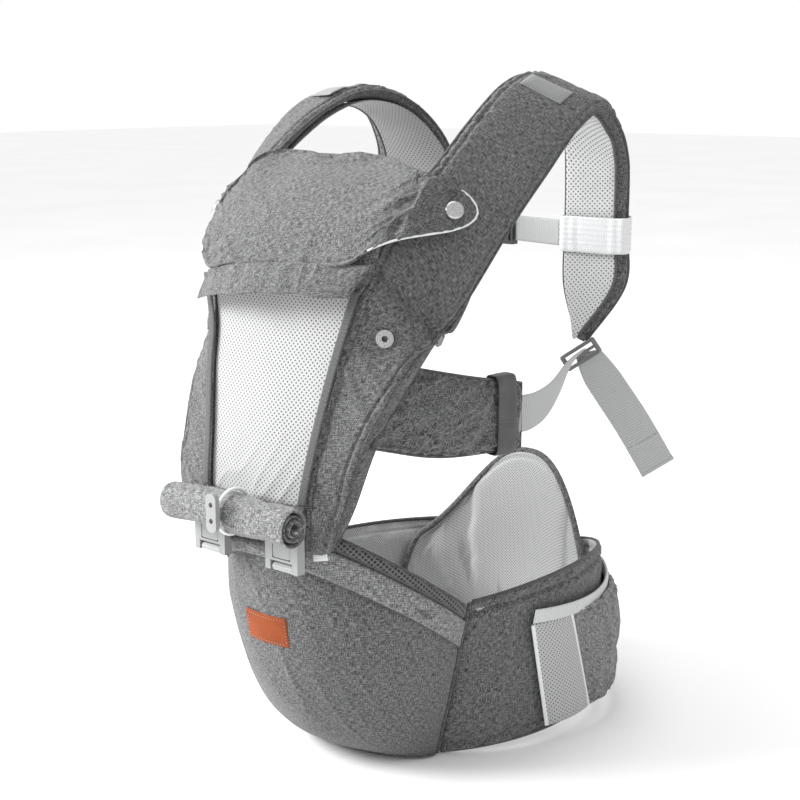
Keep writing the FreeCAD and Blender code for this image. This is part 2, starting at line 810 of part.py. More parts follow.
def make_roll():
    """The rolled-up extension flap, its elastic loop and the toggle that holds it."""
    roll = document.addObject("Part::Cylinder", "flap_roll")
    roll.setExpression("Radius", "sizes.roll_radius")
    roll.setExpression("Height", "sizes.roll_length")
    turned = Rotation(Vector(0, 1, 0), 90)
    start = Vector(-size("roll_length") / 2, size("roll_front"), size("roll_height"))
    keep(roll, "flap_roll", Placement(start, turned))
    loop = document.addObject("Part::Torus", "roll_elastic")
    loop.setExpression("Radius1", "sizes.roll_radius + sizes.elastic_radius + 0.3")
    loop.setExpression("Radius2", "sizes.elastic_radius")
    middle = Vector(size("toggle_place"), size("roll_front"), size("roll_height"))
    keep(loop, "roll_elastic", Placement(middle, turned))
    body = document.addObject("PartDesign::Body", "toggle")
    sketch = new_sketch(body, "toggle_outline")
    add_rectangle(sketch, "sizes.toggle_width", "sizes.toggle_length")
    base = pad(body, sketch, "sizes.toggle_thickness")
    round_edges(body, base, Vector(0, 0, 1), "sizes.toggle_width * 0.46")
    for index, sign in enumerate(("", "-")):
        hole = new_sketch(body, "toggle_hole_%d" % index)
        add_circle(hole, "sizes.toggle_hole / 2", upward=sign + "sizes.toggle_hole_pitch / 2")
        pocket(body, hole)
    reach = size("roll_radius") + 2 * size("elastic_radius") + 0.9
    place = Vector(size("toggle_place"), size("roll_front") - reach, size("roll_height") + 4)
    keep(body, "toggle", Placement(place, FACING_FRONT))


# ---------------------------------------------------------------- snaps
def surface_place(point, outward):
    """A placement whose own Z looks along a direction."""
    return Placement(point, Rotation(Vector(0, 0, 1), outward))


def make_ring_snap(name, side):
    """The open ring snap on the panel's side."""
    body = document.addObject("PartDesign::Body", "ring_snap_" + name)
    sketch = new_sketch(body, "ring_snap_disc_" + name)
    add_circle(sketch, "sizes.ring_snap_radius")
    pad(body, sketch, "sizes.ring_snap_height")
    hole = new_sketch(body, "ring_snap_hole_" + name)
    add_circle(hole, "sizes.ring_snap_hole")
    pocket(body, hole)
    start, end, facing = panel_side_rows(side)[8]
    across = (end - start).normalize()
    normal = (facing - across * facing.dot(across)).normalize()
    point = mix(start, end, 0.48) + normal * (size("panel_thickness") / 2 + 0.3)
    return keep(body, "ring_snap_" + name, surface_place(point, normal))


def strap_spot(side, place, share, offset):
    """A spot on the strap's outer face, and the direction it faces."""
    rows = strap_rows(side, offset, count=111)
    start, end, normal = rows[place]
    return mix(start, end, share), normal


def make_snap_socket(name, side):
    """The socket on the strap that a hood ear snaps onto."""
    spot, normal = strap_spot(side, 12, 0.49, size("strap_thickness") / 2)
    socket = document.addObject("Part::Cylinder", "snap_socket_" + name)
    socket.setExpression("Radius", "sizes.socket_radius")
    socket.setExpression("Height", "sizes.socket_height")
    return keep(socket, "snap_socket_" + name, surface_place(spot + normal * 0.2, normal))


def make_hood_snap(name, side):
    """The domed cap on a hood ear."""
    lower_row, upper_row = HOOD_ROWS[side][-2:]
    points = []
    for row in (lower_row, upper_row):
        across, lower, upper = row[:3]
        points.append(mix(Vector(across, *lower), Vector(across, *upper), 0.5))
    spot = mirrored(mix(points[0], points[1], 0.25), side) + hood_shift()
    normal = mirrored((0.62, -0.62, 0.48), side).normalize()
    cap = document.addObject("PartDesign::Body", "hood_snap_" + name)
    sketch = new_sketch(cap, "cap_disc_" + name)
    add_circle(sketch, "sizes.cap_radius")
    disc = pad(cap, sketch, "sizes.cap_height")
    rim = [index for index, edge in enumerate(disc.Shape.Edges, start=1)
           if edge.BoundBox.ZMin > size("cap_height") - 0.01]
    dome = cap.newObject("PartDesign::Fillet", "cap_dome_" + name)
    dome.Base = (disc, ["Edge%d" % index for index in rim])
    dome.setExpression("Radius", "sizes.cap_height * 0.85")
    document.recompute()
    return keep(cap, "hood_snap_" + name, surface_place(spot + normal * size("hood_snap_lift"), normal))


# ---------------------------------------------------------------- head support
# Each half of the head support: distance from the middle, lower and upper edge (forward,
# upward), bulge and thickness.
HOOD_ROWS = {
    1: (
        (50, (-262, 470), (-167, 556), 8, 15), (84, (-257, 474), (-180, 553), 6, 12),
        (104, (-250, 487), (-191, 551), 2, 7), (118, (-231, 495), (-186, 546), 0, 6),
        (133, (-200, 499), (-169, 534), 0, 5), (147, (-168, 502), (-155, 521), 0, 4),
    ),
    -1: (
        (50, (-262, 470), (-167, 558), 8, 15), (80, (-257, 474), (-180, 557), 6, 12),
        (97, (-252, 484), (-197, 536), 2, 7), (109, (-240, 488), (-198, 528), 0, 6),
        (121, (-217, 490), (-186, 521), 0, 5), (133, (-190, 492), (-173, 512), 0, 4),
    ),
}
HOOD_MIDDLE = (0, (-264, 470), (-165, 558), 9, 16)


def hood_shift():
    """How far the head support stands off along its slope, to clear the straps."""
    return Vector(0, -0.7 * size("hood_lift"), 0.7 * size("hood_lift"))


def hood_section(across, lower, upper, bulge, thickness):
    """One upright section of the head support, bulged outwards."""
    low, high = Vector(across, *lower), Vector(across, *upper)
    outward = Vector(1, 0, 0).cross(high - low).normalize()
    outside, inside = [], []
    for share, fullness in ((0, 0.4), (0.2, 1), (0.5, 1), (0.8, 1), (1, 0.4)):
        centre = mix(low, high, share) + outward * (bulge * math.sin(math.pi * share))
        outside.append(centre + outward * (thickness / 2 * fullness))
        inside.append(centre - outward * (thickness / 2 * fullness))
    return outside + inside[::-1]


def make_hood():
    """The padded head support with its two ears over the straps."""
    left = [(-row[0],) + row[1:] for row in reversed(HOOD_ROWS[-1])]
    rows = left + [HOOD_MIDDLE] + list(HOOD_ROWS[1])
    shape = solid_through([hood_section(*row) for row in rows])
    shape.translate(hood_shift())
    soft_piece("hood", shape)


def make_visor():
    """The flared flap below the head support that covers the window's top edge."""
    rows = []
    for across in (-92, -60, -25, 0, 25, 60, 92):
        share = abs(across) / 92
        top = Vector(across, -261 + 13 * share ** 2, 459 - 2 * share)
        foot = Vector(across * 0.97, -276 + 16 * share ** 2, 441 - 8 * share ** 2)
        rows.append((foot, top, Vector(0, -1, 0.3)))
    strip("hood_visor", rows, 4, 2)


# ---------------------------------------------------------------- straps and their fittings
def make_strap(name, side):
    """The padded shoulder strap, its mesh lining and the small keeper on top of it."""
    lining = 2.8
    body = size("strap_thickness") - lining - 0.2
    strip("shoulder_strap_" + name, strap_rows(side, size("strap_thickness") / 2 - body / 2), body,
          size("strap_edge"))
    shift = lining / 2 - size("strap_thickness") / 2
    strip("strap_lining_" + name, strap_rows(side, shift, inset=9), lining, 1.6)


def make_strap_keeper(name, side):
    """The small webbing keeper sewn across the top of a strap."""
    rows = strap_rows(side, size("strap_thickness") / 2 + 1.4, count=111)
    start, end, normal = rows[48]
    ahead = rows[52][0] - rows[48][0]
    inner, outer = mix(start, end, 0.12), mix(start, end, 0.66)
    return strip("strap_keeper_" + name,
                 [(inner, outer, normal), (inner + ahead, outer + ahead * 0.9, normal)], 1.8, 1)


def make_side_wing(name, side):
    """The padded wing behind the panel's side, with the loop keeper at its end."""
    tuck = 0 if side > 0 else 13
    upper = through(((116 - tuck, -216, 388), (140, -160, 374), (150, -98, 361)), 7)
    lower = through(((104 - tuck, -246, 322), (134, -190, 309), (150, -98, 303)), 7)
    rows = []
    for a, b in zip(upper, lower):
        rows.append((mirrored(b, side), mirrored(a, side), Vector(0.9 * side, -0.4, 0)))
    strip("side_wing_" + name, rows, size("wing_pad_thickness"), size("strap_edge"))


def make_wing_keeper(name, side):
    """The loop keeper round the wing's end, which holds the webbing down."""
    label = "wing_keeper_" + name
    inner_height = "(sizes.keeper_height - 2 * sizes.keeper_wall)"
    outer = block(label + "_outer", ("sizes.keeper_depth", "sizes.keeper_length", "sizes.keeper_height"),
                  ("-sizes.keeper_depth / 2", "-sizes.keeper_length / 2", "-sizes.keeper_height / 2"))
    inner = block(label + "_inner", ("sizes.keeper_depth - 2 * sizes.keeper_wall", "200", inner_height),
                  ("sizes.keeper_wall - sizes.keeper_depth / 2", "-100", "-%s / 2" % inner_height))
    ring = cut(label, outer, (inner,))
    place = Placement(mirrored((147.2, -124, 337), side), Rotation(Vector(0, 0, 1), -9 * side))
    return keep(ring, label, place)


def ribbon_rows(centres, widths, side, half_width):
    """Rows of a ribbon from its centre points and width directions."""
    rows = []
    for index, (centre, width) in enumerate(zip(centres, widths)):
        ahead = centres[min(index + 1, len(centres) - 1)] - centres[max(index - 1, 0)]
        across = Vector(width).normalize()
        normal = across.cross(ahead).normalize()
        start, end = centre - across * half_width, centre + across * half_width
        rows.append((mirrored(start, side), mirrored(end, side), mirrored(normal, side)))
    return rows


# Where the lock hangs under each strap's tip, and the direction across its slots.
LOCK_CENTRE = {1: (114, 50, 361), -1: (100, 82, 361)}
LOCK_ACROSS = (0.62, -0.05, 0.4)


def make_strap_webbing(name, side):
    """The webbing from the side wing up to the lock, and its free tail."""
    half = size("webbing_width") / 2
    lock = Vector(*LOCK_CENTRE[side])
    reach = lock + Vector(4, -13, -5)
    centres = through(((150, -91, 332), (146, -50, 339), tuple(mix(Vector(146, -50, 339), reach, 0.55)),
                       tuple(reach)), 12)
    widths = through(((0.05, 0.1, 1), (0.1, 0.05, 0.97), (0.2, 0, 0.9), (0.5, -0.05, 0.6)), 12)
    strip("strap_webbing_" + name, ribbon_rows(centres, widths, side, half),
          size("webbing_thickness"), 1.2)
    leave = lock + Vector(6, 13, -9)
    centres = through((tuple(leave), (128, 76, 334), (147, 95, 292), (168, 112, 247)), 12)
    widths = through(((0.75, 0.3, 0.2), (0.7, 0.5, 0.3), (0.62, 0.6, 0.45), (0.6, 0.62, 0.5)), 12)
    strip("strap_tail_" + name, ribbon_rows(centres, widths, side, half),
          size("webbing_thickness"), 1.2)


def make_lock(name, side):
    """The ladder lock that joins the strap's tip to the webbing."""
    body = plate("ladder_lock_" + name, "sizes.lock_width", "sizes.lock_height", "sizes.lock_depth",
                 "sizes.lock_depth * 0.6")
    for index, sign in enumerate(("", "-")):
        slot = new_sketch(body, "lock_slot_%s_%d" % (name, index))
        centre = "%s(sizes.lock_slot / 2 + sizes.lock_bar / 2)" % sign
        add_rectangle(slot, "sizes.lock_width - 2 * sizes.lock_bar + 1", "sizes.lock_slot",
                      foot="%s - sizes.lock_slot / 2" % centre)
        pocket(body, slot)
    across = mirrored(LOCK_ACROSS, side)
    down = mirrored((0.5, 0.2, -0.8), side)
    facing = across.cross(down).normalize()
    down = facing.cross(across).normalize()
    turn = Rotation(across.normalize(), down, facing, "XYZ")
    return keep(body, "ladder_lock_" + name, Placement(mirrored(LOCK_CENTRE[side], side), turn))


# ---------------------------------------------------------------- chest strap and buckles
def band_ring(side, spare, height):
    """A tall prism round the straight back part of the strap, standing off by a spare gap."""
    inner, outer = STRAP_INNER[side][9], STRAP_OUTER[side][9]
    start = mirrored((inner[0], inner[1], height), side)
    end = mirrored((outer[0], outer[1], height), side)
    across = (end - start).normalize()
    normal = Vector(0, 0, 1).cross(across).normalize()
    section = slab_section(start - across * spare, end + across * spare, normal,
                           size("strap_thickness") + 2 * spare, size("strap_edge") + 5 + 2 * spare)
    return Part.Face(Part.makePolygon(section + [section[0]]))


def make_chest_band(name, side):
    """The satin elastic band round a strap, which carries the chest strap up and down."""
    foot = size("chest_height") - size("band_width") / 2
    spare = size("band_clearance")
    outer = band_ring(side, spare + size("band_thickness"), foot)
    inner = band_ring(side, spare, foot - 1)
    ring = outer.extrude(Vector(0, 0, size("band_width")))
    ring = ring.cut(inner.extrude(Vector(0, 0, size("band_width") + 2)))
    soft_piece("chest_band_" + name, ring)


def make_chest_webbing(name, line):
    """One half of the chest strap, along a line of points seen from above."""
    half = size("chest_webbing_width") / 2
    low = size("chest_height") - half
    high = size("chest_height") + half
    rows = [(Vector(across, along, low), Vector(across, along, high), Vector(0, 1, 0))
            for across, along in line]
    strip("chest_webbing_" + name, rows, 1.8, 1)


def make_chest_strap():
    """The chest strap: its buckle, and the two webbings out to the bands on the straps."""
    line = size("chest_line")
    start = size("chest_buckle_start")
    make_side_release("chest_buckle", upright_buckle(start, line, size("chest_height")), "1")
    gap = size("band_clearance") + size("band_thickness") + 1.6
    right_end = STRAP_INNER[1][9]
    left_end = STRAP_INNER[-1][9]
    socket_end = start + size("buckle_length") + 0.4
    make_chest_webbing("right", ((socket_end, line), (right_end[0] - gap, right_end[1] + 1)))
    # the left half runs behind the plug, which slides along it when the buckle is open
    behind = line + size("buckle_depth") / 2 + 1.4
    slide_end = start - size("buckle_base") - size("plug_travel") - 2
    make_chest_webbing("left", ((start - 1, behind), (slide_end, behind),
                                (gap - left_end[0], left_end[1] - 1)))


def make_side_release(prefix, place, factor):
    """A side-release buckle: socket, plug body and two separate prongs. X is the plug's way in."""
    def scaled(formula):
        return "(%s) * %s" % (formula, factor)

    width, length, depth = "sizes.buckle_width", "sizes.buckle_length", "sizes.buckle_depth"
    wall, skin, spare = "sizes.buckle_wall", "sizes.buckle_skin", "sizes.buckle_clearance"
    label = prefix + "_female"
    shell = block(label + "_shell", [scaled(item) for item in (length, width, depth)],
                  ("0", scaled("-%s / 2" % width), scaled("-%s / 2" % depth)))
    cavity = block(label + "_cavity",
                   (scaled(length + " - 8"), scaled("%s - 2 * %s" % (width, wall)),
                    scaled("%s - 2 * %s" % (depth, skin))),
                   ("-1", scaled("%s - %s / 2" % (wall, width)), scaled("%s - %s / 2" % (skin, depth))))
    windows = block(label + "_windows",
                    (scaled("9"), scaled(width + " + 4"), scaled("%s - 2 * %s" % (depth, skin))),
                    (scaled("6"), scaled("-%s / 2 - 2" % width), scaled("%s - %s / 2" % (skin, depth))))
    web = block(label + "_web", (scaled("2.6"), scaled("sizes.buckle_width - 7"), scaled("40")),
                (scaled(length + " - 5"), scaled("3.5 - %s / 2" % width), scaled("-20")))
    keep(cut(label, shell, (cavity, windows, web)), label, place)

    label = prefix + "_male"
    base = block(label + "_base",
                 (scaled("sizes.buckle_base"), scaled(width), scaled(depth)),
                 (scaled("-sizes.buckle_base") + " - 0.3", scaled("-%s / 2" % width),
                  scaled("-%s / 2" % depth)))
    slots = []
    for index, along in enumerate(("-11.4", "-6.2")):
        slots.append(block("%s_slot_%d" % (label, index),
                           (scaled("2.6"), scaled("sizes.buckle_width - 7"), scaled("40")),
                           (scaled(along), scaled("3.5 - %s / 2" % width), scaled("-20"))))
    carved = cut(label, base, slots)
    guide = block(label + "_guide", (scaled("14") + " + 0.4", scaled("6"), scaled("3")),
                  ("-0.4", scaled("-3"), scaled("-1.5")))
    whole = document.addObject("Part::Fuse", label + "_whole")
    whole.Base = carved
    whole.Tool = guide
    keep(whole, label, place)

    thick = "(%s - 2 * %s - 2 * %s)" % (depth, skin, spare)
    outer_face = "(sizes.buckle_width / 2 - %s - %s)" % (wall, spare)
    for name, sign in (("upper", 1), ("lower", -1)):
        label = "%s_prong_%s" % (prefix, name)
        arm_side = outer_face + " - sizes.prong_width" if sign > 0 else "-" + outer_face
        head_side = outer_face + " - sizes.prong_head" if sign > 0 else "-" + outer_face
        arm = block(label + "_arm", (scaled("12"), scaled("sizes.prong_width"), scaled(thick)),
                    ("0", scaled(arm_side), scaled("-%s / 2" % thick)))
        head = block(label + "_head", (scaled("6"), scaled("sizes.prong_head"), scaled(thick)),
                     (scaled("9"), scaled(head_side), scaled("-%s / 2" % thick)))
        whole = document.addObject("Part::Fuse", label + "_whole")
        whole.Base = arm
        whole.Tool = head
        keep(whole, label, place)


def upright_buckle(across, along, height):
    """A buckle set with its width upright and its flat faces to front and back."""
    return Placement(Vector(across, along, height), Rotation(Vector(1, 0, 0), 90))


# ---------------------------------------------------------------- the whole carrier
def make_both(makers):
    """Run each maker for the right and the left side."""
    for maker in makers:
        for name, side in SIDES:
            maker(name, side)


def make_pairs():
    """The small identical pieces of both sides that ride on one body, one sub-part per kind."""
    kinds = (
        ("seat_tabs", make_seat_tab), ("connector_males", make_connector_male),
        ("window_bindings", make_binding), ("ring_snaps", make_ring_snap),
        ("snap_sockets", make_snap_socket), ("hood_snaps", make_hood_snap),
        ("strap_keepers", make_strap_keeper), ("wing_keepers", make_wing_keeper),
        ("ladder_locks", make_lock),
    )
    for label, maker in kinds:
        members = [maker(name, side) for name, side in SIDES]
        document.recompute()
        group(label, members)


def make_all():
    make_seat()
    make_belly_pad()
    make_label()
    make_lumbar_pad()
    make_both((
        make_wing, make_pocket, make_belt_webbing, make_connector_female, make_connector_button,
        make_panel_side, make_strap, make_side_wing, make_strap_webbing, make_chest_band,
    ))
    make_pairs()
    make_window()
    make_panel_top()
    make_hem()
    make_roll()
    make_hood()
    make_visor()
    waist_height = size("belt_webbing_foot") + size("webbing_width") / 2
    make_side_release("waist_buckle", upright_buckle(0, size("waist_buckle_line"), waist_height),
                      "sizes.waist_scale")
    make_chest_strap()


def check_document():
    """Stop on any object that failed to compute, and on any sub-part that isn't a sound solid."""
    for item in document.Objects:
        if "Invalid" in item.State or "Error" in item.State:
            raise RuntimeError("%s failed: %s" % (item.Label, item.State))
    for piece in pieces:
        shape = piece.Shape
        if shape.isNull() or not shape.isValid() or shape.Volume <= 0:
            raise RuntimeError("%s is not a sound solid" % piece.Label)


def export():
    os.makedirs("parts", exist_ok=True)
    for piece in pieces:
        piece.Shape.exportStep("parts/%s.step" % piece.Label)


make_all()
document.recompute()
check_document()
export()
box = FreeCAD.BoundBox()
for piece in pieces:
    box.add(piece.Shape.BoundBox)
print("%d sub-parts, box x %.1f..%.1f, y %.1f..%.1f, z %.1f..%.1f" % (
    len(pieces), box.XMin, box.XMax, box.YMin, box.YMax, box.ZMin, box.ZMax))
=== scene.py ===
"""Looks of the hip-seat baby carrier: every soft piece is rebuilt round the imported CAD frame.

Working units are millimetres in the belt-ring layout of the CAD model: +Z up, the seat points to
-Y, and the belt ring's axis is the Z axis. place() turns a layout point into the row frame.
"""

import math

import bmesh
import bpy
import numpy as np
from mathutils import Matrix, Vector


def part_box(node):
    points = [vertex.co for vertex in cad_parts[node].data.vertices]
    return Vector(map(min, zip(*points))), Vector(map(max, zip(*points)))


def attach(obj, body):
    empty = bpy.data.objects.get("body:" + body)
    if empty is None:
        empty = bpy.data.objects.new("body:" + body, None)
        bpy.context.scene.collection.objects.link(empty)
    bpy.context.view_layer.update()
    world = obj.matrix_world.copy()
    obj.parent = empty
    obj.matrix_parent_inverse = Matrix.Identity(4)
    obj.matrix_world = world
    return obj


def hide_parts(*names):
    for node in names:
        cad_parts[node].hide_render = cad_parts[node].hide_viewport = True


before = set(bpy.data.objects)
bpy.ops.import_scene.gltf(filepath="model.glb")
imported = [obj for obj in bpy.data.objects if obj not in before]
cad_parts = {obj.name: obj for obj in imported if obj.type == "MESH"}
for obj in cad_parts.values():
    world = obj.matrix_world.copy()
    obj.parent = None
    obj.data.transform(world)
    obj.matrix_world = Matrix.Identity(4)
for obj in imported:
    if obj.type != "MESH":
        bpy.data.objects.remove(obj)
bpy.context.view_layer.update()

MM = 0.001
SEAT_BACK = -132.0
SHIFT_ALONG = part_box("seat_cover")[1][1] / MM - SEAT_BACK
SIDES = (("right", 1), ("left", -1))
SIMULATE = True


# ---------------------------------------------------------------- small tools
def arr(*values):
    return np.array(values, float)


def place(points):
    """Layout millimetres to metres in the row frame."""
    moved = np.array(points, float)
    moved[..., 1] += SHIFT_ALONG
    return moved * MM


def mix(start, end, share):
    return start + (end - start) * share


def unit(vectors):
    vectors = np.array(vectors, float)
    return vectors / np.maximum(np.linalg.norm(vectors, axis=-1, keepdims=True), 1e-9)


def xyz(*parts):
    """Points, or cloth coordinates, from their separate parts."""
    return np.stack(np.broadcast_arrays(*parts), axis=-1).astype(float)


def distances(points, axis=0):
    """The running length along a line of points, or along one direction of a grid of them."""
    steps = np.linalg.norm(np.diff(points, axis=axis), axis=-1)
    return np.concatenate([np.zeros_like(steps.take([0], axis)), np.cumsum(steps, axis=axis)], axis=axis)


def on_line(points, run, spot):
    """The point of a line at a running length."""
    return np.array([np.interp(spot, run, points[:, axis]) for axis in range(3)])


def flipped(points, side):
    """The same points on the right (side 1) or the left (side -1)."""
    moved = np.array(points, float)
    moved[..., 0] *= side
    return moved


def between(before, start, end, after, part):
    """Catmull-Rom: the point a part of the way from start to end."""
    return 0.5 * (
        2 * start + (end - before) * part
        + (2 * before - 5 * start + 4 * end - after) * part ** 2
        + (3 * start - before - 3 * end + after) * part ** 3
    )


def through(points, count):
    """A smooth line through a few points, as evenly numbered points on it."""
    line = np.array(points, float)
    line = np.vstack([2 * line[0] - line[1], line, 2 * line[-1] - line[-2]])
    spans = len(line) - 3
    places = np.linspace(0, spans, count)
    first = np.minimum(places.astype(int), spans - 1)
    part = (places - first)[:, None]
    return between(*(line[first + step] for step in range(4)), part)


def finer(grid, axis, factor):
    """A smooth refinement of an array of points along one axis."""
    grid = np.moveaxis(np.array(grid, float), axis, 0)
    padded = np.concatenate([[2 * grid[0] - grid[1]], grid, [2 * grid[-1] - grid[-2]]])
    pieces = []
    for step in range(factor):
        part = step / factor
        pieces.append(between(*(padded[first:first + len(grid) - 1] for first in range(4)), part))
    woven = np.stack(pieces, axis=1).reshape((-1,) + grid.shape[1:])
    return np.moveaxis(np.concatenate([woven, grid[-1:]]), 0, axis)


def soft_noise(across, along, seed):
    """Smooth noise from 0 to 1 on a plane, the same every run."""
    table = np.random.default_rng(seed).random((64, 64))
    low_a, low_b = np.floor(across).astype(int), np.floor(along).astype(int)
    part_a, part_b = across - low_a, along - low_b
    part_a = part_a ** 2 * (3 - 2 * part_a)
    part_b = part_b ** 2 * (3 - 2 * part_b)
    value = 0
    for step_a, weight_a in ((0, 1 - part_a), (1, part_a)):
        for step_b, weight_b in ((0, 1 - part_b), (1, part_b)):
            value = value + table[(low_a + step_a) % 64, (low_b + step_b) % 64] * weight_a * weight_b
    return value


def creases(across, along, length, width, angle, seed, sharpness=3):
    """Soft fold lines from 0 to 1: long in one direction, narrow in the other (mm, degrees)."""
    turn = math.radians(angle)
    run = (across * math.cos(turn) + along * math.sin(turn)) / length
    step = (along * math.cos(turn) - across * math.sin(turn)) / width
    value = soft_noise(run, step, seed)
    return (1 - np.abs(2 * value - 1)) ** sharpness


def groove(distance, at, depth, width):
    """A sewn channel at a distance from an edge."""
    return -depth * np.exp(-(((distance - at) / width) ** 2))


# ---------------------------------------------------------------- a two-sided soft piece
class Slab:
    """A soft piece as two facing grids of points that share their rim."""

    def __init__(self, centre, normal, half_front, half_back):
        self.front = centre + normal * half_front[..., None]
        self.back = centre - normal * half_back[..., None]
        self.join_rim()

    def join_rim(self):
        middle = (self.front + self.back) / 2
        for rim in ((0, slice(None)), (-1, slice(None)), (slice(None), 0), (slice(None), -1)):
            self.front[rim] = middle[rim]
            self.back[rim] = middle[rim]

    def refine(self, factor_rows, factor_columns):
        for name in ("front", "back"):
            grid = finer(getattr(self, name), 0, factor_rows)
            setattr(self, name, finer(grid, 1, factor_columns))
        self.join_rim()
        self.measure()

    def measure(self):
        """Distances over the front: across from the middle, along, and to the nearest side rim."""
        across = distances(self.front, 1)
        self.from_start = across
        self.from_end = across[:, -1:] - across
        self.rim_distance = np.minimum(self.from_start, self.from_end)
        self.across = across - across[:, -1:] / 2
        run = distances(self.front[:, self.front.shape[1] // 2])
        self.along = np.repeat(run[:, None], self.front.shape[1], axis=1)
        self.end_distance = np.minimum(self.along, run[-1] - self.along)

    def folds(self, length, width, angle, seed, sharpness=3):
        """Fold lines at an angle to the piece's own length."""
        return creases(self.along, self.from_start, length, width, angle, seed, sharpness)

    def dimples(self, size, seed, size_over=None):
        """Soft hollows and swellings from -0.5 to 0.5."""
        return soft_noise(self.along / size, self.from_start / (size_over or size), seed) - 0.5

    def normals(self, grid, outward):
        facing = unit(np.cross(np.gradient(grid, axis=1), np.gradient(grid, axis=0)))
        if np.dot(facing[len(grid) // 2, grid.shape[1] // 2], outward) < 0:
            facing = -facing
        return facing

    def carve(self, front_relief=None, back_relief=None, reach=6.0):
        """Move the faces along their normals by relief in mm, less and less within reach of the rim."""
        thick = self.front - self.back
        outward = thick[len(thick) // 2, thick.shape[1] // 2]
        fade = np.clip(np.minimum(self.rim_distance, self.end_distance) / reach, 0, 1)
        self.front_normals = self.normals(self.front, outward)
        back_normals = self.normals(self.back, -outward)
        if front_relief is not None:
            self.front = self.front + self.front_normals * (front_relief * fade)[..., None]
        if back_relief is not None:
            self.back = self.back + back_normals * (back_relief * fade)[..., None]
        self.join_rim()


def profile(share, power):
    """Half thickness over a width: 0 at both rims, 1 inside; a high power is flatter."""
    return np.sqrt(np.clip(1 - np.abs(2 * share - 1) ** power, 0, 1))


def spaced(count, crowd=0.6):
    """Shares from 0 to 1 that crowd towards both ends."""
    even = np.linspace(0, 1, count)
    return mix(even, 0.5 - 0.5 * np.cos(np.pi * even), crowd)


def slab_from_rows(starts, ends, normals, thickness, columns, power=4.0, end_power=8.0):
    """A slab from rows that each run from a start point to an end point."""
    shares = spaced(columns)
    centre = starts[:, None] + (ends - starts)[:, None] * shares[None, :, None]
    across = unit(ends - starts)
    lift = unit(normals - across * np.sum(normals * across, axis=1, keepdims=True))
    normal = np.repeat(lift[:, None], columns, axis=1)
    along = np.linspace(0, 1, len(starts))
    shape = profile(shares, power)[None, :] * profile(along, end_power)[:, None]
    half = np.broadcast_to(np.asarray(thickness, float), (len(starts),))[:, None] / 2 * shape
    return Slab(centre, normal, half, half)


def swell(slab, pressure, growth, cap):
    """Cloth simulation: the rim stays sewn in place while air pressure fills the two faces."""
    if not SIMULATE:
        return
    rows, columns = slab.front.shape[:2]
    vertices, faces, front_index, back_index = woven(slab)
    data = bpy.data.meshes.new("cloth")
    data.from_pydata(place(vertices).tolist(), [], faces)
    cloth = bpy.data.objects.new("cloth", data)
    bpy.context.scene.collection.objects.link(cloth)
    pins = cloth.vertex_groups.new(name="sewn")
    rim = set(front_index[0]) | set(front_index[-1]) | set(front_index[:, 0]) | set(front_index[:, -1])
    pins.add([int(index) for index in rim], 1.0, "ADD")
    settings = cloth.modifiers.new("cloth", "CLOTH").settings
    settings.quality = 5
    settings.mass = 0.3
    settings.tension_stiffness = 15
    settings.compression_stiffness = 15
    settings.shear_stiffness = 5
    settings.bending_stiffness = 0.4
    settings.use_pressure = True
    settings.uniform_pressure_force = pressure
    settings.shrink_min = -growth
    settings.vertex_group_mass = "sewn"
    settings.effector_weights.gravity = 0
    for step in range(1, 21):
        bpy.context.scene.frame_set(step)
    posed = cloth.evaluated_get(bpy.context.evaluated_depsgraph_get()).data
    moved = np.empty(len(posed.vertices) * 3)
    posed.vertices.foreach_get("co", moved)
    moved = moved.reshape(-1, 3) / MM
    moved[:, 1] -= SHIFT_ALONG
    shift = moved - vertices
    length = np.linalg.norm(shift, axis=1, keepdims=True)
    shift *= np.minimum(1, cap / np.maximum(length, 1e-9))
    moved = vertices + shift
    slab.front = moved[front_index.reshape(-1)].reshape(rows, columns, 3)
    slab.back = moved[back_index.reshape(-1)].reshape(rows, columns, 3)
    bpy.data.objects.remove(cloth)
    bpy.data.meshes.remove(data)
    bpy.context.scene.frame_set(1)


def woven(slab):
    """One closed mesh from the two grids: its vertices, faces and the index of each grid point."""
    rows, columns = slab.front.shape[:2]
    front_index = np.arange(rows * columns).reshape(rows, columns)
    back_index = front_index.copy()
    inside = (slice(1, -1), slice(1, -1))
    count = (rows - 2) * (columns - 2)
    back_index[inside] = rows * columns + np.arange(count).reshape(rows - 2, columns - 2)
    vertices = np.concatenate([slab.front.reshape(-1, 3), slab.back[inside].reshape(-1, 3)])
    faces = []
    for index, turned in ((front_index, False), (back_index, True)):
        corners = (index[:-1, :-1], index[:-1, 1:], index[1:, 1:], index[1:, :-1])
        if turned:
            corners = corners[::-1]
        faces += np.stack(corners, axis=-1).reshape(-1, 4).tolist()
    return vertices, faces, front_index, back_index


# ---------------------------------------------------------------- making Blender objects
def pillow(down, down_power, over, over_power):
    """Half thickness over a grid, 0 round its rim. Its shares each way are given, or their number."""
    down, over = (np.linspace(0, 1, way) if isinstance(way, int) else way for way in (down, over))
    return profile(down, down_power)[:, None] * profile(over, over_power)[None]


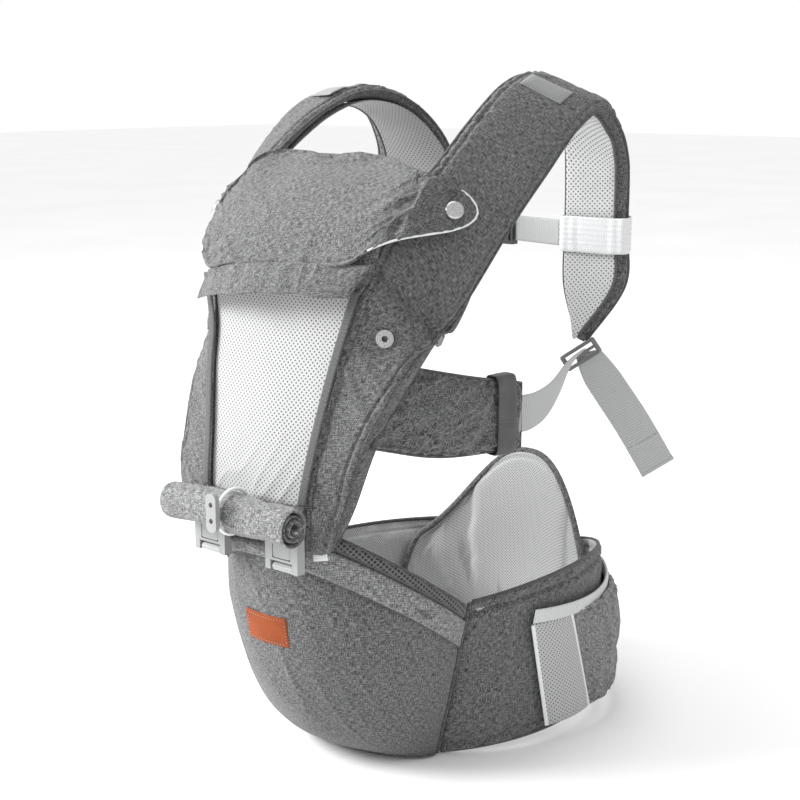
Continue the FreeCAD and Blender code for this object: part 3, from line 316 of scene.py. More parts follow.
def add_object(name, vertices, faces, uvs, material, body):
    """A mesh object that rides on a body. uvs holds one point in metres for each vertex."""
    data = bpy.data.meshes.new(name)
    data.from_pydata(place(vertices).tolist(), [], [list(face) for face in faces])
    layer = data.uv_layers.new(name="cloth_metres")
    loops = np.empty(len(data.loops), int)
    data.loops.foreach_get("vertex_index", loops)
    layer.data.foreach_set("uv", np.asarray(uvs, float)[loops].reshape(-1))
    editing = bmesh.new()
    editing.from_mesh(data)
    bmesh.ops.recalc_face_normals(editing, faces=editing.faces)
    editing.to_mesh(data)
    editing.free()
    data.polygons.foreach_set("use_smooth", [True] * len(data.polygons))
    data.materials.append(material)
    piece = bpy.data.objects.new(name, data)
    bpy.context.scene.collection.objects.link(piece)
    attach(piece, body)
    return piece


def add_slab(name, slab, material, body, nodes=(), back_material=None, flat=None):
    """The finished slab as an object, which may stand for CAD nodes. flat gives cloth coordinates."""
    slab.measure()
    vertices, faces, front_index, back_index = woven(slab)
    if flat is None:
        flat = xyz(slab.across, slab.along)
    uvs = np.zeros((len(vertices), 2))
    for index in (back_index, front_index):
        uvs[index.reshape(-1)] = flat.reshape(-1, 2) * MM
    piece = add_object(name, vertices, faces, uvs, material, body)
    if back_material is not None:
        piece.data.materials.append(back_material)
        half = len(faces) // 2
        piece.data.polygons.foreach_set("material_index", [0] * half + [1] * (len(faces) - half))
    if nodes:
        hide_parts(*nodes)
    return piece


def add_tube(name, path, radius, material, body, closed=False, squeeze=1.0, sides=10):
    """A piping or binding along a line. squeeze flattens it along its first normal."""
    path = np.array(path, float)
    if closed:
        ahead = np.roll(path, -1, axis=0) - np.roll(path, 1, axis=0)
    else:
        ahead = np.gradient(path, axis=0)
    ahead = unit(ahead)
    normal = np.cross(ahead[0], arr(0.13, 0.21, 0.97))
    if np.linalg.norm(normal) < 0.2:
        normal = np.cross(ahead[0], arr(1, 0, 0))
    run = 0.0
    vertices, uvs = [], []
    turns = np.linspace(0, 2 * np.pi, sides, endpoint=False)
    radii = np.broadcast_to(np.asarray(radius, float), (len(path),))
    for index, point in enumerate(path):
        normal = unit(normal - ahead[index] * np.dot(normal, ahead[index]))
        other = np.cross(ahead[index], normal)
        if index:
            run += np.linalg.norm(point - path[index - 1])
        for turn in turns:
            offset = normal * math.cos(turn) * squeeze + other * math.sin(turn)
            vertices.append(point + offset * radii[index])
            uvs.append((turn * radii[index] * MM, run * MM))
    faces = []
    rings = len(path) if closed else len(path) - 1
    for ring in range(rings):
        following = (ring + 1) % len(path)
        for side in range(sides):
            beside = (side + 1) % sides
            faces.append((ring * sides + side, ring * sides + beside,
                          following * sides + beside, following * sides + side))
    if not closed:
        faces.append(tuple(range(sides)))
        faces.append(tuple((len(path) - 1) * sides + side for side in range(sides)))
    return add_object(name, vertices, faces, uvs, material, body)


def add_ring(name, centre, axes, reach, count, half_width, columns, thickness, hem, relief, material, body,
             lift=None, along_first=True):
    """A closed band with a rounded-box outline: axes are its two outline directions and its width's.

    hem is how much and how near to its edges it thins; relief and lift are functions of the run round
    the band and the place over its width, and move it outwards and sideways.
    """
    spin = np.linspace(0, 2 * np.pi, count, endpoint=False)
    ways = (np.cos(spin), np.sin(spin))
    outline = [size * np.sign(way) * np.abs(way) ** 0.4 for size, way in zip(reach, ways)]
    run = np.concatenate([[0], np.cumsum(np.hypot(*(np.diff(way) for way in outline)))])[:, None]
    outward = unit(np.stack([way / size ** 2 for size, way in zip(reach, outline)], axis=-1))
    widths = np.linspace(-half_width, half_width, columns)[None]
    edge = 1 - hem[0] * np.exp(-((half_width - np.abs(widths)) / hem[1]) ** 2)
    side_shift = widths + (lift(run) if lift else 0 * run)
    layers = []
    for offset in (thickness, -thickness):
        spread = (offset + relief(run, widths)) * edge - 0.5
        layer = centre + side_shift[..., None] * axes[2]
        for index in (0, 1):
            place_out = outline[index][:, None] + outward[:, index:index + 1] * spread
            layer = layer + place_out[..., None] * axes[index]
        layers.append(layer)
    flat = [run + 0 * widths, widths + 0 * run]
    flat = np.stack(flat if along_first else flat[::-1], axis=-1) * MM
    faces = []
    second = count * columns
    for index in range(count):
        near, far = index * columns, (index + 1) % count * columns
        for column in range(columns - 1):
            quad = (near + column, near + column + 1, far + column + 1, far + column)
            faces += [quad, tuple(second + corner for corner in reversed(quad))]
        for column, order in ((0, 1), (columns - 1, -1)):
            faces.append((near + column, far + column, second + far + column, second + near + column)[::order])
    uvs = np.concatenate([flat.reshape(-1, 2)] * 2)
    return add_object(name, np.array(layers).reshape(-1, 3), faces, uvs, material, body)


def add_stitches(name, lines, material, body, length=3.0, gap=1.6, width=0.8, lift=0.25):
    """Rows of short raised stitches. Each line is its points and the surface normals there."""
    vertices, faces = [], []
    for points, normals in lines:
        run = distances(points)
        for index in range(int(run[-1] // (length + gap))):
            middle = (index + 0.5) * (length + gap)
            start, end = (on_line(points, run, spot) for spot in (middle - length / 2, middle + length / 2))
            normal = unit(on_line(normals, run, middle))
            over = np.cross(unit(end - start), normal)
            centre = (start + end) / 2 + normal * lift
            first = len(vertices)
            vertices += [start - normal * 0.3, centre + over * width / 2, end - normal * 0.3,
                         centre - over * width / 2, centre + normal * 0.35, centre - normal * 0.5]
            for a, b in ((0, 1), (1, 2), (2, 3), (3, 0)):
                faces += [(first + a, first + b, first + 4), (first + b, first + a, first + 5)]
    return add_object(name, vertices, faces, np.array(vertices)[:, :2] * MM, material, body)


def once(side, node):
    """A CAD node that holds both sides' pieces: the right piece stands for it."""
    return (node,) if side > 0 else ()


def column_line(slab, distance, from_end=False, trim=3):
    """A line on a slab's front at a distance from its first or last side, with its normals."""
    reach = slab.from_end if from_end else slab.from_start
    columns = np.argmin(np.abs(reach - distance), axis=1)[trim:-trim]
    rows = np.arange(len(reach))[trim:-trim]
    return slab.front[rows, columns], slab.front_normals[rows, columns]


def row_line(slab, distance, from_end=False, trim=3):
    """A line on a slab's front at a distance from its first or last row."""
    run = slab.along[:, 0]
    target = run[-1] - distance if from_end else distance
    row = int(np.argmin(np.abs(run - target)))
    columns = slice(trim, slab.front.shape[1] - trim)
    return slab.front[row, columns], slab.front_normals[row, columns]


def rim_path(slab):
    """The closed line round a slab's rim."""
    grid = slab.front
    return np.concatenate([grid[0, :-1], grid[:-1, -1], grid[-1, :0:-1], grid[:0:-1, 0]])


# ---------------------------------------------------------------- materials
class Nodes:
    """Short names for building a material's nodes."""

    def __init__(self, name):
        self.material = bpy.data.materials.new(name)
        self.material.use_nodes = True
        self.tree = self.material.node_tree
        self.shader = self.tree.nodes["Principled BSDF"]

    def node(self, kind, **values):
        item = self.tree.nodes.new(kind)
        for key, value in values.items():
            setattr(item, key, value)
        return item

    def feed(self, socket, value):
        """Set a socket to a number or colour, or link another node's output to it."""
        if isinstance(value, (int, float, tuple)):
            socket.default_value = value
        else:
            self.tree.links.new(value, socket)

    def math(self, operation, *values):
        item = self.node("ShaderNodeMath", operation=operation)
        for socket, value in zip(item.inputs, values):
            self.feed(socket, value)
        return item.outputs[0]

    def times(self, value, factor):
        return self.math("MULTIPLY", value, factor)

    def wave(self, value, rate, operation="SINE"):
        return self.math(operation, self.times(value, rate))

    def cloth_axes(self, coordinates="UV"):
        """The two cloth directions, or three object directions, in metres."""
        source = self.node("ShaderNodeTexCoord").outputs[coordinates]
        split = self.node("ShaderNodeSeparateXYZ")
        self.feed(split.inputs[0], source)
        return source, split.outputs

    def noise(self, source, scale, detail=2.0, stretch=(1, 1, 1)):
        mapping = self.node("ShaderNodeMapping")
        mapping.inputs["Scale"].default_value = stretch
        self.feed(mapping.inputs[0], source)
        item = self.node("ShaderNodeTexNoise")
        item.inputs["Scale"].default_value = scale
        item.inputs["Detail"].default_value = detail
        self.feed(item.inputs["Vector"], mapping.outputs[0])
        return item.outputs["Fac"]

    def cells(self, source, scale):
        """Distance to the edge of the nearest cell."""
        item = self.node("ShaderNodeTexVoronoi", feature="DISTANCE_TO_EDGE")
        item.inputs["Scale"].default_value = scale
        self.feed(item.inputs["Vector"], source)
        return item.outputs[0]

    def ramp(self, value, *stops):
        """Colours at positions from 0 to 1 of a value."""
        item = self.node("ShaderNodeValToRGB")
        elements = item.color_ramp.elements
        while len(elements) < len(stops):
            elements.new(0.5)
        for element, (position, colour) in zip(elements, stops):
            element.position = position
            element.color = tuple(colour) + (1,)
        self.feed(item.inputs[0], value)
        return item.outputs[0]

    def blend_colours(self, factor, first, second, kind="MIX"):
        item = self.node("ShaderNodeMix", data_type="RGBA", blend_type=kind)
        for index, value in ((0, factor), (6, first), (7, second)):
            self.feed(item.inputs[index], value)
        return item.outputs[2]

    def bump(self, height, strength, distance):
        item = self.node("ShaderNodeBump")
        item.inputs["Strength"].default_value = strength
        item.inputs["Distance"].default_value = distance
        self.feed(item.inputs["Height"], height)
        self.feed(self.shader.inputs["Normal"], item.outputs[0])

    def finish(self, colour, roughness, sheen=0.0, metallic=0.0, specular=0.5):
        values = {"Base Color": colour, "Roughness": roughness, "Sheen Weight": sheen, "Sheen Roughness": 0.5,
                  "Metallic": metallic, "Specular IOR Level": specular}
        for socket, value in values.items():
            self.feed(self.shader.inputs[socket], value)
        return self.material


def grey(value, tint=0.0):
    """A grey with a slight cool (positive) or warm tint."""
    return (value * (1 - tint), value, value * (1 + tint))


def melange(name, dark, light):
    """Heathered plain weave: streaky warp and weft yarns that pass over each other."""
    nodes = Nodes(name)
    source, axes = nodes.cloth_axes()
    weft_tone = nodes.noise(source, 1.0, 1.0, (190, 1200, 300))
    warp_tone = nodes.noise(source, 1.0, 1.0, (1200, 210, 300))
    weave = nodes.times(nodes.wave(axes[0], 7800.0), nodes.wave(axes[1], 7800.0))
    tone = nodes.times(nodes.math("ADD", weft_tone, warp_tone), 0.5)
    tone = nodes.math("MULTIPLY_ADD", weave, 0.02, tone)
    colour = nodes.ramp(tone, (0.36, grey(dark, 0.01)), (0.50, grey(mix(dark, light, 0.40), 0.01)),
                        (0.63, grey(light, 0.01)))
    cloud = nodes.ramp(nodes.noise(source, 60.0, 3.0), (0.3, grey(0.92)), (0.7, grey(1.0)))
    colour = nodes.blend_colours(1.0, colour, cloud, "MULTIPLY")
    nodes.bump(nodes.math("MULTIPLY_ADD", weave, 0.15, tone), 0.55, 0.0006)
    return nodes.finish(colour, 0.88, sheen=0.15)


def air_mesh(name, base, hole, pitch, size):
    """Knitted air mesh with staggered small holes."""
    nodes = Nodes(name)
    source, axes = nodes.cloth_axes()
    step = 2 * math.pi / (pitch * MM)
    slants = [nodes.wave(nodes.math(way, *axes[:2]), step, "COSINE") for way in ("ADD", "SUBTRACT")]
    dots = nodes.times(nodes.math("ADD", *slants), 0.5)
    knit = nodes.noise(source, 1500.0)
    shade = nodes.noise(source, 60.0)
    surface = nodes.blend_colours(nodes.times(knit, 0.35), grey(base, 0.006) + (1,),
                                  grey(base * 0.72, 0.006) + (1,))
    surface = nodes.blend_colours(nodes.times(shade, 0.12), surface, grey(base * 0.7) + (1,))
    mask = nodes.ramp(dots, (1 - size - 0.16, grey(0)), (1 - size, grey(1)))
    colour = nodes.blend_colours(mask, surface, grey(hole, 0.01) + (1,))
    nodes.bump(nodes.math("SUBTRACT", nodes.times(knit, 0.25), mask), 0.6, 0.0008)
    return nodes.finish(colour, 0.8, sheen=0.2)


def ribbed(name, base, pitch, contrast, roughness, coordinates="UV", axis=1, sheen=0.1):
    """Webbing or elastic: even ribs across the tape, with a fine yarn pattern along it."""
    nodes = Nodes(name)
    source, axes = nodes.cloth_axes(coordinates)
    wobble = nodes.times(nodes.wave(axes[1 - axis], 2100.0), 0.55)
    ribs = nodes.math("SINE", nodes.math("ADD", nodes.times(axes[axis], 2 * math.pi / (pitch * MM)), wobble))
    yarn = nodes.noise(source, 900.0)
    value = nodes.math("ADD", nodes.times(ribs, 0.30), nodes.times(yarn, 0.55))
    value = nodes.math("ADD", value, 0.22)
    colour = nodes.ramp(value, (0.0, grey(base * (1 - contrast), 0.01)), (1.0, grey(base, 0.01)))
    nodes.bump(value, 0.5, 0.0006)
    return nodes.finish(colour, roughness, sheen=sheen)


def plastic(name, base, roughness):
    """Moulded acetal: faint flow mottling and a fine spark-eroded texture."""
    nodes = Nodes(name)
    source, _ = nodes.cloth_axes("Object")
    flow = nodes.noise(source, 35.0, 3.0)
    texture = nodes.noise(source, 2600.0)
    colour = nodes.ramp(flow, (0.3, grey(base * 0.9, 0.01)), (0.7, grey(base * 1.06, 0.01)))
    nodes.bump(texture, 0.25, 0.0002)
    return nodes.finish(colour, nodes.math("ADD", nodes.times(texture, 0.18), roughness - 0.09))


def nickel(name):
    """Satin nickel with fine circular wear."""
    nodes = Nodes(name)
    source, _ = nodes.cloth_axes("Object")
    wear = nodes.noise(source, 700.0, 4.0)
    colour = nodes.ramp(wear, (0.25, grey(0.34)), (0.75, grey(0.52)))
    nodes.bump(wear, 0.08, 0.0002)
    return nodes.finish(colour, nodes.math("ADD", nodes.times(wear, 0.25), 0.18), metallic=1.0)


def leather(name, base, deep, grain, roughness):
    """Grained leather: cells between fine wrinkles, and a cloudy dye."""
    nodes = Nodes(name)
    source, _ = nodes.cloth_axes()
    cloud = nodes.noise(source, 55.0, 4.0)
    dye = nodes.ramp(cloud, (0.3, deep), (0.68, base))
    edge = nodes.ramp(nodes.cells(source, grain), (0.0, grey(0.35)), (0.12, grey(1)))
    colour = nodes.blend_colours(0.55, dye, edge, "MULTIPLY")
    nodes.bump(edge, 0.35, 0.0004)
    rough = nodes.math("ADD", nodes.times(cloud, 0.2), roughness - 0.1)
    return nodes.finish(colour, rough, specular=0.2)


def twill(name, dark, light):
    """Binding tape or thread with a fine diagonal twill."""
    nodes = Nodes(name)
    source, axes = nodes.cloth_axes()
    diagonal = nodes.wave(nodes.math("ADD", axes[0], axes[1]), 4200.0)
    value = nodes.math("ADD", nodes.times(diagonal, 0.22), nodes.noise(source, 800.0))
    colour = nodes.ramp(value, (0.25, grey(dark, 0.01)), (0.85, grey(light, 0.01)))
    nodes.bump(value, 0.4, 0.0004)
    return nodes.finish(colour, 0.85, sheen=0.2)


def foam(name):
    """Expanded foam beads."""
    nodes = Nodes(name)
    source, _ = nodes.cloth_axes("Object")
    cells = nodes.cells(source, 260.0)
    colour = nodes.ramp(cells, (0.0, grey(0.03)), (0.2, grey(0.11)))
    nodes.bump(cells, 0.5, 0.001)
    return nodes.finish(colour, 0.85)


MELANGE = melange("melange_canvas", 0.012, 0.195)
# A lighter copy of the canvas; on the rolled flap it is painted light.
MELANGE_LIGHT = melange("melange_light", 0.035, 0.33)
# A darker copy of the canvas, painted shade: on the seat's underside and back, the hem beneath the roll, and
# the pipings and seams.
MELANGE_PAINTED_SHADE = melange("melange_shaded", 0.012, 0.12)
MESH_WHITE = air_mesh("mesh_white", 0.41, 0.03, 4.7, 0.34)
MESH_LIGHT = air_mesh("mesh_light", 0.52, 0.06, 4.7, 0.30)
MESH_FINE = air_mesh("mesh_fine", 0.48, 0.07, 3.3, 0.40)
MESH_SHADE = air_mesh("mesh_shaded", 0.26, 0.05, 4.7, 0.30)
MESH_DARK = air_mesh("mesh_dark", 0.10, 0.004, 5.2, 0.80)
LINING = twill("cream_lining", 0.45, 0.72)
BINDING = twill("dark_binding", 0.035, 0.12)
BINDING_GREY = twill("grey_binding", 0.14, 0.34)
PIPING = twill("white_piping", 0.55, 0.80)
THREAD = twill("grey_thread", 0.10, 0.26)
LABEL_THREAD = twill("label_thread", 0.30, 0.48)
WEBBING = ribbed("grey_webbing", 0.44, 2.6, 0.35, 0.7)
ELASTIC = ribbed("white_elastic", 0.68, 1.7, 0.15, 0.34, sheen=0.3)
ELASTIC_GREY = ribbed("grey_elastic", 0.60, 2.2, 0.35, 0.55)
ELASTIC_SOLID = ribbed("elastic_object", 0.80, 1.8, 0.2, 0.5, "Object", axis=0)
PLASTIC_LIGHT = plastic("light_plastic", 0.27, 0.42)
PLASTIC_GREY = plastic("grey_plastic", 0.13, 0.40)
PLASTIC_DARK = plastic("dark_plastic", 0.035, 0.40)
NICKEL = nickel("satin_nickel")
LABEL = leather("orange_leather", (0.30, 0.062, 0.010), (0.23, 0.045, 0.007), 900.0, 0.55)
KEEPER = leather("grey_coated", grey(0.10), grey(0.07), 1400.0, 0.36)
FOAM = foam("foam_beads")


# ---------------------------------------------------------------- layout of the CAD model
SEAT_HEIGHT = 157.0
SLOPE = 0.70
RING = 151.0
WING_THICKNESS = 13.0

PANEL_EDGE = {
    1: ((76, -268, 228), (88, -264, 266), (103, -256, 322), (124, -240, 374), (132, -206, 412)),
    -1: ((84, -268, 228), (110, -264, 266), (110, -256, 322), (108, -242, 374), (109, -222, 402)),
}
PANEL_INNER = ((53, -278.5, 228), (57, -278, 266), (63, -268, 322), (71, -257, 374), (77, -247, 412))
STRAP_INNER = {
    1: ((97, -234, 480), (100, -190, 526), (100, -150, 556), (100, -110, 587), (100, -65, 616),
        (100, -25, 625), (98, 20, 612), (95, 44, 570), (94, 50, 528), (94, 50, 480), (94, 50, 430),
        (104, 50, 379)),
    -1: ((90, -236, 478), (94, -200, 515), (96, -160, 545), (97, -120, 572), (97, -70, 597),
         (95, -20, 610), (88, 30, 602), (79, 68, 574), (76, 91, 538), (76, 92, 480), (76, 92, 430),
         (84, 86, 380)),
}
STRAP_OUTER = {
    1: ((135, -184, 416), (143, -148, 461), (149, -112, 503), (152, -70, 541), (152, -20, 580),
        (151, 25, 595), (150, 55, 574), (150, 67, 552), (150, 70, 530), (150, 70, 480),
        (150, 70, 430), (122, 53, 372)),
    -1: ((112, -205, 420), (124, -185, 470), (134, -160, 515), (142, -118, 558), (147, -65, 594),
         (148, -5, 604), (150, 35, 590), (151, 56, 562), (150, 60, 535), (150, 60, 480),
         (146, 61, 430), (112, 76, 373)),
}
STRAP_THICKNESS = 18.0
LINING_THICKNESS = 2.8

# Head support: distance from the middle, lower and upper edge (forward, up), bulge, thickness.
HOOD_ROWS = {
    1: (
        (50, -262, 470, -167, 556, 8, 15), (84, -257, 474, -180, 553, 6, 12),
        (104, -250, 487, -191, 551, 2, 7), (118, -231, 495, -186, 546, 0, 6),
        (133, -200, 499, -169, 534, 0, 5), (147, -168, 502, -155, 521, 0, 4),
    ),
    -1: (
        (50, -262, 470, -167, 558, 8, 15), (80, -257, 474, -180, 557, 6, 12),
        (97, -252, 484, -197, 536, 2, 7), (109, -240, 488, -198, 528, 0, 6),
        (121, -217, 490, -186, 521, 0, 5), (133, -190, 492, -173, 512, 0, 4),
    ),
}
HOOD_MIDDLE = (0, -264, 470, -165, 558, 9, 16)
WINDOW_TOP = (89, -241, 454)
LOCK_CENTRE = {1: (114, 50, 361), -1: (100, 82, 361)}


def seat_half_width(height):
    return 84 + 36 * np.minimum(height / SEAT_HEIGHT, 1)


def seat_reach(height):
    return 148 - 98 * np.exp(-height / 68) - 18 * np.exp(-height / 9)


# ---------------------------------------------------------------- hip seat
def seat_line(turn, share, drop, inset=0.0):
    """A point of the seat's curved wall: turn goes round the front, share up to its sloping top."""
    height = np.full_like(turn, SEAT_HEIGHT)
    for _ in range(8):
        height = SEAT_HEIGHT + SLOPE * seat_reach(height) * np.sin(turn) - drop
    height = height * share
    across = (seat_half_width(height) - inset) * np.cos(turn)
    along = SEAT_BACK - (seat_reach(height) - inset) * np.sin(turn)
    return xyz(across, along, height)


def sew(name, slab, body, trim, *rows):
    """Stitches along a slab's sides. Each row is a distance and whether it is from the last side."""
    add_stitches(name, [column_line(slab, distance, far, trim) for distance, far in rows], THREAD, body)


def seat_band(shares, drops, rows, powers, offset, thick, refinement):
    """A band of the seat's wall between two levels, each a share of the height and a drop below the top.

    offset moves its middle layer outwards, and thick is its half thickness outside and inside.
    """
    turns = np.linspace(0, np.pi, 121)
    low, high = (seat_line(turns, share, drop)[None, :, 2] for share, drop in zip(shares, drops))
    height = low + (high - low) * spaced(rows)[:, None]
    wall = xyz(seat_half_width(height) * np.cos(turns), SEAT_BACK - seat_reach(height) * np.sin(turns), height)
    outward = unit(np.cross(np.gradient(wall, axis=0), np.gradient(wall, axis=1)))
    if outward[rows // 2, 60, 1] > 0:
        outward = -outward
    shape = pillow(spaced(rows), powers[0], 121, powers[1])
    slab = Slab(wall + outward * offset, outward, thick[0] * shape, thick[1] * shape)
    slab.refine(*refinement)
    return slab


def round_and_up(height):
    """Cloth coordinates on the seat's wall: round its front, and up."""
    return xyz(np.linspace(0, 1, height.shape[1])[None] * 420 + 0 * height, height)


def make_seat_shell():
    """The fabric shell of the wedge seat, with a hem seam that follows its sloping top."""
    slab = seat_band((0.0, 1.0), (15.4, 14.6), 44, (16, 60), -1.6, (1.6, 1.6), (3, 2))
    height = slab.front[..., 2]
    from_top = (height[-1:] - height) * 0.82
    round_front = np.linspace(0, 1, height.shape[1])[None]
    folds = creases(slab.along, round_front * 430, 130, 26, 24, 3)
    relief = groove(from_top, 25, 1.5, 1.6) + 1.1 * np.exp(-(((from_top - 13) / 9) ** 2))
    relief += 1.6 * np.sin(np.pi * np.clip(height / 190, 0, 1))
    relief += 1.5 * folds * np.clip(height / 60, 0, 1) * np.clip(from_top / 45, 0, 1)
    relief += 0.8 * (soft_noise(height / 34, round_front * 9 + 0 * height, 5) - 0.5)
    relief += groove(height, 9, 1.0, 1.4)
    slab.carve(relief)
    add_slab("seat_shell", slab, MELANGE, "hip_seat", ("seat_cover",), flat=round_and_up(height))
    columns = np.arange(height.shape[1])[8:-8]
    rows = np.argmin(np.abs(from_top - 22.6), axis=0)[8:-8]
    add_stitches("seat_hem_stitches", [(slab.front[rows, columns], slab.front_normals[rows, columns])], THREAD,
                 "hip_seat")
    foot = slab.front[6, 6:-6] + slab.front_normals[6, 6:-6] * 0.2
    add_tube("seat_foot_piping", foot, 1.5, MELANGE_PAINTED_SHADE, "hip_seat")


def make_seat_floor():
    """The fabric bottom and back of the seat, which it stands on."""
    rim = seat_line(np.linspace(0, np.pi, 61), 0.0, 0.0)
    centre_line = xyz(rim[:, 0], SEAT_BACK, rim[:, 2])
    grid = mix(centre_line[None], rim[None], np.linspace(0, 1, 14)[:, None, None])
    grid[..., 2] = 2.2
    shape = pillow(14, 12, 61, 12)
    add_slab("seat_floor", Slab(grid, arr(0, 0, 1), 1.2 * shape, 1.8 * shape), MELANGE_PAINTED_SHADE, "hip_seat")
    for name, side in SIDES:
        rise = np.linspace(3, SEAT_HEIGHT - 4, 30)
        corner = xyz(side * (seat_half_width(rise) - 0.4), SEAT_BACK + 0.6, rise)
        add_tube("seat_corner_piping_" + name, corner, 2.2, MELANGE_PAINTED_SHADE, "hip_seat")
    heights = np.linspace(1, SEAT_HEIGHT - 13, 12)
    starts = xyz(-seat_half_width(heights) + 1, SEAT_BACK - 1.6, heights)
    back = slab_from_rows(starts, flipped(starts, -1), arr(0, 1, 0), 2.4, 40, 30, 30)
    add_slab("seat_back", back, MELANGE_PAINTED_SHADE, "hip_seat")


def make_seat_rim():
    """The dark air-mesh band round the sloping top, between two pipings."""
    slab = seat_band((1.0, 1.0), (13.0, 2.2), 12, (2, 80), -1.2, (2.6, 3.0), (2, 2))
    add_slab("seat_rim_band", slab, MESH_DARK, "hip_seat", flat=round_and_up(slab.front[..., 2]))
    add_tube("seat_rim_piping_lower", slab.front[0, 2:-2], 1.5, BINDING, "hip_seat")
    add_tube("seat_rim_piping_upper", slab.front[-1, 2:-2], 1.8, MELANGE_PAINTED_SHADE, "hip_seat")


def make_seat_hem_band():
    """The facing strip under the air-mesh band, turned in and sewn along its lower edge."""
    slab = seat_band((1.0, 1.0), (43.0, 16.0), 14, (8, 80), 0.6, (1.9, 1.2), (3, 2))
    slab.carve(0.9 * (creases(slab.across, slab.along, 40, 12, 12, 9) - 0.3))
    add_slab("seat_hem_band", slab, MELANGE_LIGHT, "hip_seat", flat=round_and_up(slab.front[..., 2]))
    add_tube("seat_hem_seam", slab.front[0, 2:-2], 0.9, MELANGE_PAINTED_SHADE, "hip_seat")


def make_seat_top():
    """The padded sloping top that the child sits on, crowned and sewn down at its rim."""
    turns = np.linspace(0, np.pi, 61)
    rim = seat_line(turns, 1.0, 1.6, inset=2.0)
    back_line = xyz(rim[:, 0], SEAT_BACK + 0.0, SEAT_HEIGHT - 1.6)
    shares = spaced(34)[:, None, None]
    grid = back_line[None] + (rim - back_line)[None] * shares
    normal = unit(arr(0, SLOPE, 1))
    shape = pillow(spaced(34), 3, 61, 4)
    slab = Slab(grid - normal * 2.5, normal, 5.5 * shape, 4.5 * shape)
    swell(slab, 1.5, 0.01, 4)
    slab.refine(2, 2)
    slab.carve(1.2 * (soft_noise(slab.front[..., 0] / 22, slab.front[..., 1] / 22, 8) - 0.5))
    add_slab("seat_top", slab, MESH_LIGHT, "hip_seat", ("seat_top_pad",))


def make_belly_cushion():
    """The pad between the seat and the wearer."""
    heights = np.linspace(4, SEAT_HEIGHT - 4, 34)
    half_width = seat_half_width(heights) - 21
    starts = xyz(-half_width, SEAT_BACK + 5.6, heights)
    ends = starts * arr(-1, 1, 1)
    normals = arr(0, 1, 0)
    slab = slab_from_rows(starts, ends, normals, 8.0, 40, 3, 3)
    swell(slab, 2.0, 0.01, 1.5)
    slab.refine(3, 3)
    channels = sum(groove(np.abs(slab.front[..., 0]), at, 1.3, 2.0) for at in (0, 42))
    slab.carve(channels)
    add_slab("belly_cushion", slab, MESH_LIGHT, "hip_seat", ("belly_pad",))
    add_tube("belly_cushion_binding", rim_path(slab), 2.0, BINDING_GREY, "hip_seat", closed=True)


def make_label():
    """A blank orange leather patch with a stitched border, bowed to the seat's front."""
    width, height, centre = 50.0, 29.0, 146.0
    columns, rows = 41, 27
    across = np.linspace(-width / 2, width / 2, columns)
    upward = centre + np.linspace(-height / 2, height / 2, rows)
    corner = 2.2
    grid = np.zeros((rows, columns, 3))
    for row, level in enumerate(upward):
        inset = max(0, corner - min(level - upward[0], upward[-1] - level))
        squeeze = 1 - (corner - math.sqrt(max(corner ** 2 - inset ** 2, 0))) / (width / 2)
        x = across * squeeze
        bulge = np.sqrt(1 - (x / seat_half_width(level)) ** 2)
        grid[row] = xyz(x, SEAT_BACK - seat_reach(level) * bulge - 2.1, level)
    normal = unit(xyz(grid[..., 0] * 0.009, -1.0, -0.12))
    shape = pillow(rows, 18, columns, 26)
    slab = Slab(grid, normal, shape, shape)
    slab.refine(3, 3)
    near = np.minimum(slab.rim_distance, slab.end_distance)
    slab.carve(groove(near, 3.4, 0.5, 0.8))
    add_slab("label", slab, LABEL, "hip_seat", ("label_patch",))
    lines = [column_line(slab, 3.2, trim=10), column_line(slab, 3.2, True, trim=10),
             row_line(slab, 3.2, trim=10), row_line(slab, 3.2, True, trim=10)]
    add_stitches("label_stitches", lines, LABEL_THREAD, "hip_seat", 2.0, 1.2, 0.6, 0.3)


def make_seat_tabs():
    """Short webbing tabs that come off the seat and loop round the connectors' bars."""
    for name, side in SIDES:
        bar = arr(0, -289.5, 216.6)
        turns = np.radians(np.linspace(200, -150, 22))
        loop = bar + xyz(0, 3.1 * np.cos(turns), 3.1 * np.sin(turns))
        tail = np.array([(0, -279.5, 213.5), (0, -282.0, 213.6)])
        line = np.vstack([tail, loop[::-1]])
        starts = line + arr(44 * side - 12.2, 0, 0)
        ends = line + arr(44 * side + 12.2, 0, 0)
        ahead = np.gradient(line, axis=0)
        normals = unit(np.cross(ahead, arr(1, 0, 0)))
        slab = slab_from_rows(starts, ends, normals, 1.3, 12, 20, 20)
        slab.refine(2, 2)
        add_slab("seat_tab_" + name, slab, WEBBING, "hip_seat", once(side, "seat_tabs"))


# ---------------------------------------------------------------- waist belt
def wing_point(share, height, side):
    """A point of a wing's outer face: share 0 is the seam on the seat, 1 the back end."""
    half_width = seat_half_width(height)
    back = SEAT_BACK + 0.5
    start = np.degrees(np.arctan2(back, half_width))
    angle = np.radians(mix(start, 84.5, share))
    radius = RING + (np.hypot(half_width, back) - RING) * (1 - share) ** 3
    return xyz(side * radius * np.cos(angle), radius * np.sin(angle), height)


def wing_top(share, side):
    side_rise = 18 if side > 0 else -9
    return SEAT_HEIGHT + side_rise * np.sin(np.pi * np.minimum(share * 1.15, 1)) - 16 * share ** 2


def wing_foot(share):
    return 0.4 + 14 * np.sin(np.pi * share)


def wing_inward(share, side):
    middle = wing_point(share, SEAT_HEIGHT / 2, side)
    inward = unit(-middle * arr(1, 1, 0))
    first = np.clip(1 - share / 0.08, 0, 1)[..., None]
    return unit(mix(inward, arr(-0.72 * side, 0.69, 0), first))


